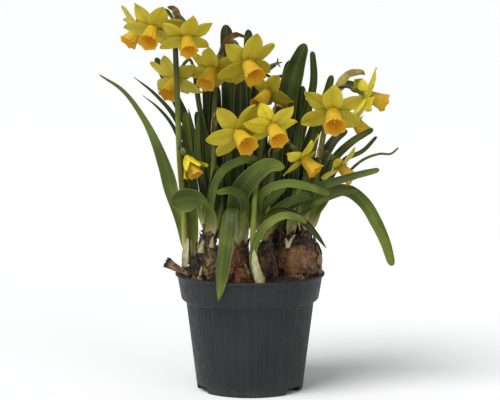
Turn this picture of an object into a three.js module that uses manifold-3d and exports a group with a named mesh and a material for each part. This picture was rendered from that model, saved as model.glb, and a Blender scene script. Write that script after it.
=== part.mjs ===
// Tete-a-tete daffodils in flower, in a round plastic nursery pot.
// Millimetres, +Z up. The origin is the centre of the pot's foot, and the plant is seen from the -Y side.

import * as THREE from "three";
import { mergeVertices } from "three/addons/utils/BufferGeometryUtils.js";
import Module from "manifold-3d";

const wasm = await Module();
wasm.setup();

// Driving dimensions of the pot
const POT_HEIGHT = 94;
const LIP_RADIUS = 60;
const LIP_DEPTH = 2.4;
const BAND_TOP_RADIUS = 58.3;
const BAND_FOOT_RADIUS = 55.3;
const BAND_HEIGHT = 22;
const WALL_TOP_RADIUS = 51.4;
const FOOT_RADIUS = 42.5;
const FOOT_WIDTH = 2.6;
const BASE_HEIGHT = 5;
const WALL = 1.4;
const NOTCH_WIDTH = 15;
const NOTCH_HEIGHT = 4;
const NOTCH_ANGLES = [-66, 54, 174];
const DRAIN_RADIUS = 4;
const DRAIN_CIRCLE = 24;
const DRAIN_COUNT = 5;
const DRAIN_SIDES = 6;
const POT_SEGMENTS = 28;

// Driving dimensions of the soil
const SOIL_LEVEL = 86;
const SOIL_EDGE_DROP = 2;
const SOIL_RINGS = [38, 19];
const SOIL_SEGMENTS = 16;
const SOIL_HEAP = { height: 5, at: [-48, -6], spread: 250 };
const SOIL_WAVES = { height: 0.9, alongX: 0.31, alongY: 0.27 };

// Clearances between pieces that touch
const SEAT_GAP = 0.3;
const HOLE_GAP = 0.5;

// Driving dimensions of a full-grown bloom
const TEPAL_LENGTH = 25;
const TEPAL_WIDTH = 12.5;
const TEPAL_THICKNESS = 0.75;
const TEPAL_ROOT = 2.2;
const TEPALS = 6;
const TUBE_LENGTH = 9;
const CORONA_LENGTH = 17.5;
const CORONA_SEGMENTS = 12;
const OVARY_LENGTH = 7;
const OVARY_RADIUS = 2.3;
const PEDICEL_RADIUS = 1.2;

// Driving dimensions of the leaves and flower stems
const LEAF_THICKNESS = 1.1;
const LEAF_EDGE = 0.75;
const LEAF_CHANNEL = 0.13;
const LEAF_FLAT_BELOW = 7.5; // a narrower leaf is plain across, with no channel
const SCAPE_RADIUS = 2.3;
const SCAPE_SIDES = 5;
const PEDICEL_SIDES = 5;

// Colours
const POT_COLOUR = 0x2c3637;
const SOIL_COLOUR = 0x1d1712;
const TUNIC_COLOUR = 0x6e4a2c;
const LEAF_COLOUR = 0x3a5a2a;
const TEPAL_COLOUR = 0xb9ac22;
const CORONA_COLOUR = 0xd0921e;
const SPATHE_COLOUR = 0x8a7444;
const STUB_COLOUR = 0x4a2f1b;
const SHEATH_COLOUR = 0xd8cfae;

const matt = (color, roughness = 0.7) => new THREE.MeshStandardMaterial({ color, roughness, metalness: 0 });
const POT_FINISH = matt(POT_COLOUR, 0.6);
const SOIL_FINISH = matt(SOIL_COLOUR, 1);
const TUNIC_FINISH = matt(TUNIC_COLOUR, 0.75);
const LEAF_FINISH = matt(LEAF_COLOUR, 0.5);
const TEPAL_FINISH = matt(TEPAL_COLOUR, 0.6);
const CORONA_FINISH = matt(CORONA_COLOUR, 0.6);
const SPATHE_FINISH = matt(SPATHE_COLOUR, 0.85);
const STUB_FINISH = matt(STUB_COLOUR, 0.9);
const SHEATH_FINISH = matt(SHEATH_COLOUR, 0.6);

const vec = (point) => new THREE.Vector3(...point);
const radians = THREE.MathUtils.degToRad;
const UP = new THREE.Vector3(0, 0, 1);
const FORWARD = [0, -1, 0];

// Solids: joining and cutting

function solid(geometry) {
  const bare = geometry.clone();
  bare.deleteAttribute("normal");
  bare.deleteAttribute("uv");
  const merged = mergeVertices(bare, 1e-4);
  const corners = [];
  for (let i = 0; i < merged.index.count; i += 3) {
    const [a, b, c] = [0, 1, 2].map((k) => merged.index.getX(i + k));
    if (a !== b && b !== c && c !== a) corners.push(a, b, c);
  }
  const mesh = new wasm.Mesh({
    numProp: 3,
    vertProperties: Float32Array.from(merged.attributes.position.array),
    triVerts: Uint32Array.from(corners),
  });
  return new wasm.Manifold(mesh);
}

function geometryOf(manifold) {
  const { vertProperties, triVerts } = manifold.getMesh();
  const geometry = new THREE.BufferGeometry();
  geometry.setAttribute("position", new THREE.BufferAttribute(Float32Array.from(vertProperties), 3));
  geometry.setIndex(Array.from(triVerts));
  geometry.computeVertexNormals();
  return geometry;
}

// Pieces joined in one body: a hollow that joining seals is filled, and a loose scrap is dropped
function fuse(geometries) {
  const whole = geometries.map(solid).reduce((sum, piece) => sum.add(piece));
  return whole.decompose().sort((a, b) => b.volume() - a.volume())[0];
}

function named(name, geometry, finish) {
  const mesh = new THREE.Mesh(geometry, finish);
  mesh.name = name;
  return mesh;
}

// A profile of [radius, height] pairs turned about the Z axis
function turned(profile, segments) {
  const outline = profile.map(([radius, height]) => new THREE.Vector2(radius, height));
  return new THREE.LatheGeometry(outline, segments).rotateX(Math.PI / 2);
}

// An upright rod centred on the origin, tapering to a top radius
function rod(radius, height, sides, top = radius) {
  return new THREE.CylinderGeometry(top, radius, height, sides).rotateX(Math.PI / 2);
}

// A thin closed blade: a grid of columns and rows thickened to both sides, split alike on both faces.
// place(across, along, side) gives a point for across in -1..1, along in 0..1 and side 1 or -1.
function blade(columns, rows, place) {
  const plane = new THREE.PlaneGeometry(1, 1, columns, rows);
  const { uv } = plane.attributes;
  const count = uv.count;
  const positions = [];
  for (const side of [1, -1]) {
    for (let i = 0; i < count; i += 1) {
      positions.push(...place(uv.getX(i) * 2 - 1, uv.getY(i), side).toArray());
    }
  }
  const top = Array.from(plane.index.array);
  const index = [...top];
  for (let i = 0; i < top.length; i += 3) {
    index.push(top[i] + count, top[i + 2] + count, top[i + 1] + count);
  }
  const at = (row, column) => row * (columns + 1) + column;
  const border = [];
  for (let c = 0; c < columns; c += 1) border.push(at(rows, c));
  for (let r = rows; r > 0; r -= 1) border.push(at(r, columns));
  for (let c = columns; c > 0; c -= 1) border.push(at(0, c));
  for (let r = 0; r < rows; r += 1) border.push(at(r, 0));
  border.forEach((a, i) => {
    const b = border[(i + 1) % border.length];
    index.push(a, a + count, b, b, a + count, b + count);
  });
  const geometry = new THREE.BufferGeometry();
  geometry.setAttribute("position", new THREE.Float32BufferAttribute(positions, 3));
  geometry.setIndex(index);
  return geometry;
}

// Leaves and stems

// Rows of a strap leaf: how far along it they lie, and how much of its full width they have
const LEAF_ROWS = [
  [0, 0.5], [0.2, 0.84], [0.44, 1], [0.7, 0.95], [0.91, 0.7], [1, 0.2],
];

// A channelled strap leaf along hand-placed points. look is the way its hollow side looks at the root,
// and twist is how far it has turned about its own line by the tip, in degrees.
function strap({ points, width, look = FORWARD, twist = 0, thickness = LEAF_THICKNESS, edge = LEAF_EDGE }) {
  const curve = new THREE.CatmullRomCurve3(points.map(vec), false, "centripetal");
  const normal = vec(look);
  let before = null;
  const frames = LEAF_ROWS.map(([along, share]) => {
    const tangent = curve.getTangentAt(along);
    if (before) normal.applyQuaternion(new THREE.Quaternion().setFromUnitVectors(before, tangent));
    before = tangent;
    normal.addScaledVector(tangent, -normal.dot(tangent)).normalize();
    const face = normal.clone().applyAxisAngle(tangent, radians(twist * along));
    const across = tangent.clone().cross(face);
    return { at: curve.getPointAt(along), face, across, half: width * share / 2 };
  });
  const last = LEAF_ROWS.length - 1;
  return blade(width > LEAF_FLAT_BELOW ? 2 : 1, last, (u, v, side) => {
    const { at, face, across, half } = frames[Math.round(v * last)];
    const depth = u === 0 ? side * thickness / 2 : half * 2 * LEAF_CHANNEL + side * edge / 2;
    return at.clone().addScaledVector(across, u * half).addScaledVector(face, depth);
  });
}

// A round stalk of one radius along hand-placed points
function stalk(points, radius = SCAPE_RADIUS, sides = SCAPE_SIDES, steps = points.length + 1) {
  const path = new THREE.CatmullRomCurve3(points.map(vec), false, "centripetal");
  const ring = new THREE.Shape();
  for (let i = 0; i < sides; i += 1) {
    const angle = (i / sides) * 2 * Math.PI;
    const corner = [radius * Math.cos(angle), radius * Math.sin(angle)];
    if (i === 0) ring.moveTo(...corner);
    else ring.lineTo(...corner);
  }
  ring.closePath();
  return new THREE.ExtrudeGeometry(ring, { steps, extrudePath: path, bevelEnabled: false });
}

// Pot

function pot() {
  const bandFoot = POT_HEIGHT - BAND_HEIGHT;
  const bead = LIP_DEPTH / 2;
  const inner = FOOT_RADIUS - FOOT_WIDTH;
  const profile = [
    [0, BASE_HEIGHT - WALL], [inner, BASE_HEIGHT - WALL], [inner, 0], [FOOT_RADIUS, 0],
    [WALL_TOP_RADIUS, bandFoot - 1], [BAND_FOOT_RADIUS - 1.5, bandFoot], [BAND_FOOT_RADIUS, bandFoot + 2],
    [BAND_TOP_RADIUS, POT_HEIGHT - LIP_DEPTH], [LIP_RADIUS, POT_HEIGHT - bead],
    [LIP_RADIUS - 0.6, POT_HEIGHT], [BAND_TOP_RADIUS - WALL, POT_HEIGHT],
    [BAND_FOOT_RADIUS - WALL, bandFoot + 2],
    [WALL_TOP_RADIUS - WALL, bandFoot - 1], [FOOT_RADIUS - WALL, BASE_HEIGHT], [0, BASE_HEIGHT],
  ];
  let body = solid(turned(profile, POT_SEGMENTS));
  for (const angle of NOTCH_ANGLES) {
    const notch = new THREE.BoxGeometry(NOTCH_WIDTH, 4 * FOOT_WIDTH, 2 * NOTCH_HEIGHT);
    notch.translate(0, -FOOT_RADIUS, 0).rotateZ(radians(angle));
    body = body.subtract(solid(notch));
  }
  for (let i = 0; i < DRAIN_COUNT; i += 1) {
    const drain = rod(DRAIN_RADIUS, 2 * BASE_HEIGHT, DRAIN_SIDES);
    drain.translate(DRAIN_CIRCLE, 0, BASE_HEIGHT).rotateZ((i / DRAIN_COUNT) * 2 * Math.PI);
    body = body.subtract(solid(drain));
  }
  return named("pot", geometryOf(body), POT_FINISH);
}

// The pot's inner radius at a height
function innerRadius(z) {
  const bandFoot = POT_HEIGHT - BAND_HEIGHT;
  const [lowZ, lowR, highZ, highR] = z < bandFoot - 1
    ? [BASE_HEIGHT, FOOT_RADIUS, bandFoot - 1, WALL_TOP_RADIUS]
    : [bandFoot + 2, BAND_FOOT_RADIUS, POT_HEIGHT, BAND_TOP_RADIUS];
  return THREE.MathUtils.mapLinear(z, lowZ, highZ, lowR, highR) - WALL;
}

// Bulbs: each stands at a place in the soil with its neck up, and its neck is a socket for its own shoot

const BULBS = [
  { name: "bulb_far_left", at: [-45.5, 4], radius: 7, bottom: 70, top: 98, neck: 4.2 },
  { name: "bulb_middle_left", at: [-34, -15], radius: 12.2, bottom: 76, top: 123, neck: 6 },
  { name: "bulb_front", at: [-7, -32], radius: 12.4, bottom: 74, top: 118, neck: 5 },
  { name: "bulb_centre", at: [12, -16], radius: 10.5, bottom: 76, top: 120, neck: 5 },
  { name: "bulb_right", at: [44, -9], radius: 12.6, bottom: 84, top: 127, neck: 5,
    second: { name: "second_nose", at: [31.5, -6], radius: 11, bottom: 80, top: 123, neck: 4.6 } },
  { name: "bulb_back_left", at: [-18, 28], radius: 12, bottom: 72, top: 118, neck: 5.6 },
  { name: "bulb_back_right", at: [16, 30], radius: 12, bottom: 72, top: 118, neck: 5.6 },
];
const NOSES = BULBS.flatMap((bulb) => (bulb.second ? [bulb, bulb.second] : [bulb]));
const BULB_SEGMENTS = 10;
const SOCKET_DEPTH = 5;
const NECK_WALL = 1.2;
const NECK_FLARE = 0.8;
const NECK_FOOT = 0.87;
const BULB_OUTLINE = [[0.72, 0.06], [1, 0.34], [0.98, 0.54], [0.78, 0.72]];

// A bulb's body, made larger all round by grow for the hole that it sits in
function bulbBody({ at, radius, bottom, top, neck }, grow = 0) {
  const height = top - bottom;
  const side = BULB_OUTLINE.map(([share, along]) => [radius * share + grow, bottom + height * along]);
  const socket = neck - NECK_WALL;
  const mouth = grow ? [[0, top]] : [[socket, top], [socket, top - SOCKET_DEPTH], [0, top - SOCKET_DEPTH]];
  const profile = [
    [0, bottom - grow], ...side, [neck + NECK_FLARE + grow, bottom + height * NECK_FOOT],
    [neck + grow, top], ...mouth,
  ];
  return turned(profile, BULB_SEGMENTS).translate(...at, 0);
}

function bulbMesh(bulb) {
  const noses = bulb.second ? [bulb, bulb.second] : [bulb];
  return named(bulb.name, geometryOf(fuse(noses.map((nose) => bulbBody(nose)))), TUNIC_FINISH);
}

// Soil: fills the pot to just under its rim, heaped a little at the left, with a plain hole for each bulb

const FRONT_OFFSET = { at: [8.5, -46], depth: 10, radius: 4.2, sides: 10 };

function soilTop(x, y) {
  const { height, at, spread } = SOIL_HEAP;
  const heap = height * Math.exp(-((x - at[0]) ** 2 + (y - at[1]) ** 2) / spread);
  const waves = Math.sin(x * SOIL_WAVES.alongX) * Math.cos(y * SOIL_WAVES.alongY) * SOIL_WAVES.height;
  return SOIL_LEVEL + heap + waves;
}

function soil() {
  const floor = BASE_HEIGHT + SEAT_GAP;
  const shoulder = POT_HEIGHT - BAND_HEIGHT - 1.1;
  const rim = SOIL_LEVEL - SOIL_EDGE_DROP;
  const edge = [floor, shoulder, rim].map((z) => [innerRadius(z) - HOLE_GAP, z]);
  const rings = [...SOIL_RINGS, 0].map((radius) => [radius, SOIL_LEVEL]);
  const profile = [[0, floor], ...edge, ...rings];
  const geometry = turned(profile, SOIL_SEGMENTS);
  const spots = geometry.attributes.position;
  for (let i = 0; i < spots.count; i += 1) {
    if (spots.getZ(i) > rim + 0.1) spots.setZ(i, soilTop(spots.getX(i), spots.getY(i)));
  }
  let body = solid(geometry);
  for (const nose of NOSES) body = body.subtract(solid(bulbBody(nose, HOLE_GAP)));
  const { at, depth, radius, sides } = FRONT_OFFSET;
  const well = rod(radius + HOLE_GAP, 4 * depth, sides);
  body = body.subtract(solid(well.translate(...at, SOIL_LEVEL + depth)));
  return named("soil", geometryOf(body), SOIL_FINISH);
}

// Blooms: a ring of six tepals on a tube, and a ruffled trumpet seated on it, each made looking along +Z

// Rows of a tepal: how far along it they lie, and how much of its full width they have
const TEPAL_ROWS = [[0, 0.27], [0.42, 1], [0.76, 0.86], [1, 0.1]];
const OUTER_RING = { drop: 0.5, curl: 1.5, lean: 0, breadth: 1 };
const INNER_RING = { drop: 1.3, curl: 3.5, lean: -5, breadth: 0.86 };
const ROOT_SINK = 3;

// How far the tepals of one bloom differ from each other, in degrees, mm or as a share
const SCATTER = { angle: 4, lean: 2.5, curl: 1.5, length: 0.05 };

// A repeatable scatter between -1 and 1
function scatter(seed) {
  const wave = Math.sin(seed * 127.1) * 43758.5453;
  return 2 * (wave - Math.floor(wave)) - 1;
}

// A tepal at an angle round the bloom, leaning forward (or back, below 0) by lean degrees
function tepal({ angle, lean, curl, length, drop, width }) {
  const out = new THREE.Vector3(Math.cos(angle), Math.sin(angle), 0);
  const aside = out.clone().cross(UP);
  const slope = radians(lean);
  const along = out.clone().multiplyScalar(Math.cos(slope)).addScaledVector(UP, Math.sin(slope));
  const normal = out.clone().multiplyScalar(-Math.sin(slope)).addScaledVector(UP, Math.cos(slope));
  const sink = drop + Math.max(0, Math.tan(slope)) * ROOT_SINK;
  const root = out.clone().multiplyScalar(TEPAL_ROOT).addScaledVector(UP, -sink);
  const last = TEPAL_ROWS.length - 1;
  return blade(1, last, (u, v, side) => {
    const [share, broad] = TEPAL_ROWS[Math.round(v * last)];
    const bow = -curl * share * share;
    return root.clone()
      .addScaledVector(along, share * length)
      .addScaledVector(aside, (u * width * broad) / 2)
      .addScaledVector(normal, bow + (side * TEPAL_THICKNESS) / 2);
  });
}

// The green-yellow tube that the tepals grow from, by radius and height
const TUBE_PROFILE = [[0, -TUBE_LENGTH], [1.8, -TUBE_LENGTH], [1.9, -5], [4.4, -2], [4.4, 0], [0, 0]];

function perianth({ size, roll, lean = 0, broad = 1, seed }) {
  const tube = turned(TUBE_PROFILE, TEPALS).rotateZ(radians(180 / TEPALS + roll));
  const tepals = Array.from({ length: TEPALS }, (_, k) => {
    const ring = k % 2 ? INNER_RING : OUTER_RING;
    return tepal({
      angle: radians(90 + roll + (k * 360) / TEPALS + SCATTER.angle * scatter(seed + k)),
      lean: lean + ring.lean + SCATTER.lean * scatter(seed + k + 20),
      curl: ring.curl + SCATTER.curl * scatter(seed + k + 60),
      length: TEPAL_LENGTH * (1 + SCATTER.length * scatter(seed + k + 40)) - TEPAL_ROOT,
      drop: ring.drop,
      width: TEPAL_WIDTH * broad * ring.breadth,
    });
  });
  return geometryOf(fuse([tube, ...tepals])).scale(size, size, size);
}

const CORONA_PROFILE = [
  [0, SEAT_GAP], [4.5, SEAT_GAP], [6.4, 12], [8.6, CORONA_LENGTH - 0.5],
  [8, CORONA_LENGTH], [5.3, 12], [0, 7],
];
const RUFFLE_FROM = 16;
const RUFFLE_DEPTH = 0.8;
const RUFFLE_SPREAD = 0.06;

// The trumpet's mouth is drawn in and out by turns all round
function corona({ size }) {
  const geometry = turned(CORONA_PROFILE, CORONA_SEGMENTS);
  const spots = geometry.attributes.position;
  for (let i = 0; i < spots.count; i += 1) {
    const [x, y, z] = [spots.getX(i), spots.getY(i), spots.getZ(i)];
    if (z > RUFFLE_FROM) {
      const turn = Math.round((Math.atan2(y, x) / (2 * Math.PI)) * CORONA_SEGMENTS);
      const wave = turn % 2 === 0 ? 1 : -1;
      const spread = 1 + RUFFLE_SPREAD * wave;
      spots.setXYZ(i, x * spread, y * spread, z + wave * RUFFLE_DEPTH / 2);
    }
  }
  return geometryOf(solid(geometry)).scale(size, size, size);
}

// The turn that takes a bloom from +Z to the way it faces, with its own top kept uppermost
function facingTurn(facing) {
  const ahead = vec(facing).normalize();
  const right = UP.clone().cross(ahead).normalize();
  const basis = new THREE.Matrix4().makeBasis(right, ahead.clone().cross(right), ahead);
  return new THREE.Quaternion().setFromRotationMatrix(basis);
}

function bloomGroup(bloom, number) {
  const group = new THREE.Group();
  group.position.set(...bloom.at);
  group.quaternion.copy(facingTurn(bloom.facing));
  group.add(named(`tepals_${number}`, perianth(bloom), TEPAL_FINISH));
  group.add(named(`trumpet_${number}`, corona(bloom), CORONA_FINISH));
  return group;
}

// The green ovary behind a bloom, and the pedicel from the head of its flower stem, which runs straight
// for its last stretch and ends inside the ovary
const PEDICEL_END = { inside: 0.8, straight: 3 };

function ovaryAndPedicel({ at, facing, size, pedicel }) {
  const start = -TUBE_LENGTH * size - SEAT_GAP;
  const foot = start - OVARY_LENGTH;
  const profile = [[0, foot], [1.3, foot], [OVARY_RADIUS, (foot + start) / 2], [1.7, start], [0, start]];
  const ovary = turned(profile, PEDICEL_SIDES).applyQuaternion(facingTurn(facing)).translate(...at);
  const ahead = vec(facing).normalize();
  const end = vec(at).addScaledVector(ahead, foot + PEDICEL_END.inside);
  const behind = end.clone().addScaledVector(ahead, -PEDICEL_END.straight);
  const points = [...pedicel, behind.toArray(), end.toArray()];
  return [ovary, stalk(points, PEDICEL_RADIUS, PEDICEL_SIDES)];
}

// The blooms: where the ring of tepals has its centre, which way the trumpet looks, how far the ring is
// turned (degrees), the size against a full-grown bloom, and the pedicel's way from its flower stem
const BLOOMS = [
  { shoot: "far_left", at: [-88, 14, 288], facing: [-0.6, -0.4, -0.7], roll: 10, size: 0.92,
    pedicel: [[-60, 1, 295], [-67, 10, 302]] },
  { shoot: "far_left", at: [-76, -17, 289], facing: [-0.2, -0.74, -0.64], roll: -30, size: 0.98, lean: -1,
    pedicel: [[-60, 0, 295], [-66, 1, 303]] },
  { shoot: "far_left", at: [-49, -26, 282], facing: [0.12, -0.7, -0.7], roll: 0, size: 0.88,
    pedicel: [[-60, -1, 294], [-56, -8, 299]] },
  { shoot: "back_left", at: [-60, 19, 247], facing: [-0.38, -0.6, -0.7], roll: 0, size: 0.96,
    pedicel: [[-45, 31, 255], [-49, 31, 263]] },
  { shoot: "back_left", at: [-30, 2, 256], facing: [-0.32, -0.64, -0.7], roll: -10, size: 0.96,
    pedicel: [[-20, 21, 263], [-21, 19, 273]] },
  { shoot: "back_left", at: [-2, -14, 262], facing: [0.36, -0.72, -0.6], roll: 0, size: 1.06,
    pedicel: [[-20, 21, 263], [-13, 12, 278]] },
  { shoot: "back_right", at: [14, 18, 237], facing: [-0.5, -0.55, -0.67], roll: 10, size: 0.92,
    pedicel: [[29, 33, 238], [27, 31, 249]] },
  { shoot: "middle_left", at: [-9, -36, 208], facing: [0.42, -0.78, -0.46], roll: -20, size: 1.06,
    pedicel: [[-27, -17, 212], [-25, -18, 219], [-22, -18.5, 221]] },
  { shoot: "front", at: [17.5, -42, 214], facing: [0.3, -0.74, -0.6], roll: -30, size: 0.95,
    pedicel: [[15, -14, 215], [14, -17, 226]] },
  { shoot: "right", at: [65, -22, 224], facing: [0.05, -0.8, -0.6], roll: 0, size: 1.08,
    pedicel: [[66, 5, 233], [64.5, -2, 239]] },
  { shoot: "right", at: [93, -4, 236], facing: [0.88, 0.25, -0.4], roll: -4, size: 0.94,
    pedicel: [[66, 5, 233], [70, 0, 241]] },
  { shoot: "right", at: [84, 18, 215], facing: [0.6, -0.3, -0.74], roll: 20, size: 0.88,
    pedicel: [[66, 6, 231], [67, 15, 235]] },
  { shoot: "centre", at: [42, -28, 188], facing: [0.66, -0.34, -0.67], roll: 30, size: 0.86,
    pedicel: [[20, -20, 191], [25, -20, 198]] },
  { shoot: "inner_right", at: [72, -17, 180], facing: [0.65, -0.25, -0.7], roll: 10, size: 0.8,
    pedicel: [[54, -9, 184], [59, -11, 191]] },
  { shoot: "far_left", at: [-48, -16, 184], facing: [0.45, -0.4, -0.8], roll: 10, size: 0.74, lean: 46,
    broad: 0.75, pedicel: [[-55, 2, 184], [-56, -4, 195]] },
];

// The green shoots: leaves by their points above the neck, greatest width, look and twist, and flower stems
const SHOOTS = [
  { name: "far_left", bulb: "bulb_far_left",
    leaves: [
      { width: 11, twist: -105,
        points: [[-53, -2, 116], [-55, -7, 138], [-59, -11, 158], [-65, -14, 181], [-79, -17, 213],
          [-99, -18, 241], [-118, -18, 253]] },
      { width: 7, twist: 20, points: [[-46, 9, 130], [-49, 12, 170], [-52, 14, 222]] },
    ],
    scapes: [
      [[-50, 2, 102], [-53.5, 0, 150], [-56, -1, 182], [-58, 0, 240], [-60, 0, 297]],
      [[-47, 6, 110], [-51, 8, 145], [-54, 5, 172], [-55, 2, 186]],
    ] },
  { name: "middle_left", bulb: "bulb_middle_left",
    leaves: [
      { width: 15, points: [[-30, -24, 138], [-32, -30, 150], [-42, -33, 157], [-61, -34, 155]] },
      { width: 5.5, look: [0.4, -1, 0], points: [[-37, -7, 150], [-43, 0, 188], [-49, 3, 225]] },
      { width: 5.5, look: [-0.5, -1, 0], points: [[-34, -5, 150], [-41, -3, 190], [-41, -1, 223]] },
      { width: 4, twist: 30,
        points: [[-40, -4, 145], [-48, 2, 185], [-60, 6, 217], [-76, 8, 236], [-93, 8, 250]] },
      { width: 3.5, twist: 40,
        points: [[-43, 1, 148], [-52, 8, 184], [-62, 11, 210], [-74, 12, 225], [-86, 12, 235]] },
      { width: 6, look: [-0.6, -0.6, 0.2],
        points: [[-30, -20, 145], [-26, -25, 165], [-19, -29, 175], [-8, -32, 180], [4, -33, 183]] },
      { width: 8, look: [0.2, -1, 0], twist: 20,
        points: [[-30, -9, 150], [-35, -4, 185], [-36, -2, 214]] },
      { width: 7, look: [-0.2, -1, 0], points: [[-26, -12, 150], [-19, -12, 180], [-16, -10, 203]] },
    ],
    scapes: [
      [[-32, -13, 126], [-30, -15, 160], [-28, -17, 195], [-27, -17, 214]],
    ] },
  { name: "front_bulb", bulb: "bulb_front",
    leaves: [
      { width: 14, look: [0.9, 0.5, 0],
        points: [[-9, -34, 128], [-14, -37, 141], [-17, -45, 144], [-18, -54, 134], [-20, -58.4, 112],
          [-23.5, -59, 75]] },
      { width: 7, look: [-1, -0.4, 0],
        points: [[-5, -34, 128], [-2.5, -37, 146], [-9, -41, 157], [-19, -43, 161], [-29, -44, 158]] },
      { width: 15,
        points: [[-10, -30, 138], [-8, -34, 157], [4, -38, 173], [17, -40, 182], [26, -41, 178]] },
    ],
    scapes: [] },
  { name: "front", bulb: null,
    leaves: [
      { width: 6.5, look: [-0.3, -1, 0.4],
        points: [[2, -47, 109], [1, -48, 118], [5, -48, 126], [16, -47, 134], [30, -45, 138],
          [44, -43, 133], [59, -40, 118]] },
    ],
    scapes: [
      [[5, -44, 100], [2.5, -41, 115], [3, -36, 148], [5, -31, 170], [9, -24, 198], [15, -14, 218]],
    ] },
  { name: "centre", bulb: "bulb_centre",
    leaves: [
      { width: 6.5, look: [-0.6, -0.8, 0.2],
        points: [[9, -24, 138], [8, -33, 156], [14, -39, 165], [28, -41, 170], [46, -40, 167],
          [62, -38, 161]] },
      { width: 6.5, look: [-0.6, -0.8, 0.2],
        points: [[7, -22, 136], [10, -27, 148], [18, -30, 157], [28, -31, 166]] },
      { width: 7, look: [-0.5, -0.8, 0.3],
        points: [[11, -22, 130], [17, -27, 144], [33, -31, 155], [47, -32, 160]] },
      { width: 5.5, look: [-0.5, -0.8, 0.3], points: [[20, -20, 134], [34, -25, 150], [49, -27, 157]] },
      { width: 4, look: [0, -1, 0.2], points: [[10, -20, 145], [12, -28, 168], [11, -34, 191]] },
      { width: 9, twist: 20, points: [[14, -10, 145], [20, -6, 175], [24, -4, 204]] },
      { width: 8, twist: -20, points: [[10, -9, 145], [4, -6, 170], [0, -6, 192]] },
    ],
    scapes: [
      [[12, -16, 124], [14, -18, 155], [18, -20, 182], [20, -20, 195]],
    ] },
  { name: "right", bulb: "bulb_right",
    leaves: [
      { width: 10, look: [-0.5, -0.9, 0], twist: 20,
        points: [[53, -13, 146], [63, -17, 160], [77, -19, 162], [90, -21, 153], [99, -21, 139],
          [107, -21, 122], [113, -21, 102]] },
      { width: 7, look: [-0.3, -1, 0.2],
        points: [[53, -5, 152], [61, 3, 173], [69, 4, 186], [82, 0, 199], [98, -4, 209]] },
      { width: 4.5, look: [-0.3, -1, 0.2],
        points: [[57, -2, 150], [66, 10, 170], [77, 14, 183], [91, 13, 190], [102, 11, 202]] },
      { width: 2.4, look: [-0.3, -1, 0.2],
        points: [[58, -6, 146], [73, -2, 168], [90, 0, 184], [104, 0, 189], [112, -1, 189],
          [118.5, -1, 194]] },
      { width: 6.5, look: [-0.5, -1, 0.2],
        points: [[47, -16, 145], [49, -27, 161], [57, -34, 168], [70, -35, 172], [84, -35, 176],
          [101, -34, 180]] },
      { width: 9, look: [-0.2, -1, 0],
        points: [[51, -2, 150], [57, 4, 180], [67, 10, 198], [78, 14, 207]] },
      { width: 8, twist: 15, points: [[45, -5, 150], [47, 2, 180], [53, 8, 205]] },
    ],
    scapes: [
      [[47, -6, 130], [52, 0, 160], [58, 4, 200], [66, 5, 236]],
    ] },
  { name: "inner_right", bulb: "second_nose",
    leaves: [
      { width: 4, look: [-0.4, -1, 0.2],
        points: [[35, -13, 136], [44, -22, 146], [52, -26, 152], [68, -27, 159], [86, -26, 163]] },
      { width: 8, twist: 15, points: [[33, -2, 150], [36, 4, 185], [40, 6, 214]] },
    ],
    scapes: [
      [[34, -7, 135], [37, -9, 155], [46, -10, 175], [54, -9, 187]],
    ] },
  { name: "back_left", bulb: "bulb_back_left",
    leaves: [
      { width: 12, twist: 10,
        points: [[-18, 32, 160], [-16, 36, 220], [-18, 37, 265], [-20, 36, 291]] },
      { width: 8.5, look: [0.2, -1, 0],
        points: [[-8, 33, 160], [-3, 40, 220], [-2, 41, 260], [-1.5, 41, 287]] },
      { width: 7, look: [0.3, -1, 0],
        points: [[-32, 36, 160], [-54, 42, 215], [-70, 43, 248], [-77, 43, 264]] },
      { width: 9, look: [0.2, -1, 0], twist: 20,
        points: [[-27, 36, 165], [-34, 44, 210], [-37, 46, 246]] },
      { width: 9, look: [0.3, -1, 0], twist: 10,
        points: [[-25, 22, 150], [-37, 17, 190], [-43, 13, 222]] },
      { width: 9, look: [-0.1, -1, 0], twist: -15,
        points: [[-12, 22, 150], [-9, 14, 185], [-6, 10, 220]] },
    ],
    scapes: [
      [[-24, 22, 140], [-29, 18, 180], [-29, 19, 215], [-27, 24, 241], [-20, 22, 265]],
      [[-24, 28, 145], [-34, 31, 190], [-42, 32, 230], [-45, 31, 258]],
    ] },
  { name: "back_right", bulb: "bulb_back_right",
    leaves: [
      { width: 14, look: [-0.1, -1, 0],
        points: [[24, 32, 165], [33, 32, 215], [39, 31, 250], [44, 30, 275]] },
      { width: 10, look: [-0.3, -1, 0], twist: 20,
        points: [[17, 38, 165], [24, 42, 210], [30, 43, 245], [33, 42, 262]] },
      { width: 6, look: [-0.3, -1, 0], twist: 30,
        points: [[31, 27, 165], [43, 24, 210], [51, 24, 245], [50, 24, 270]] },
      { width: 7, look: [-0.3, -1, 0],
        points: [[35, 24, 165], [51, 19, 205], [61, 17, 232], [66, 17, 251]] },
      { width: 6, look: [-0.3, -1, 0.2],
        points: [[38, 32, 165], [57, 32, 210], [68, 30, 234], [78, 29, 243], [91, 29, 240]] },
      { width: 9, twist: 10, points: [[10, 36, 165], [9, 42, 205], [10, 44, 240]] },
      { width: 8, look: [-0.2, -1, 0], twist: 15, points: [[34, 36, 155], [48, 40, 185], [55, 42, 208]] },
      { width: 9, twist: 10, points: [[18, 18, 150], [24, 10, 180], [30, 5, 212]] },
    ],
    scapes: [
      [[19, 29, 150], [25, 32, 200], [29, 33, 240]],
    ] },
];

const CORE_TAPER = 0.75;
const CORE_RISE = 10;
const CORE_SIDES = 8;
const CORE_CLEARANCE = 0.6;
const OFFSET_RISE = 3;
const ROOT_SPREAD = 0.5;
const ROOT_RISE = 1.6;

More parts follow.
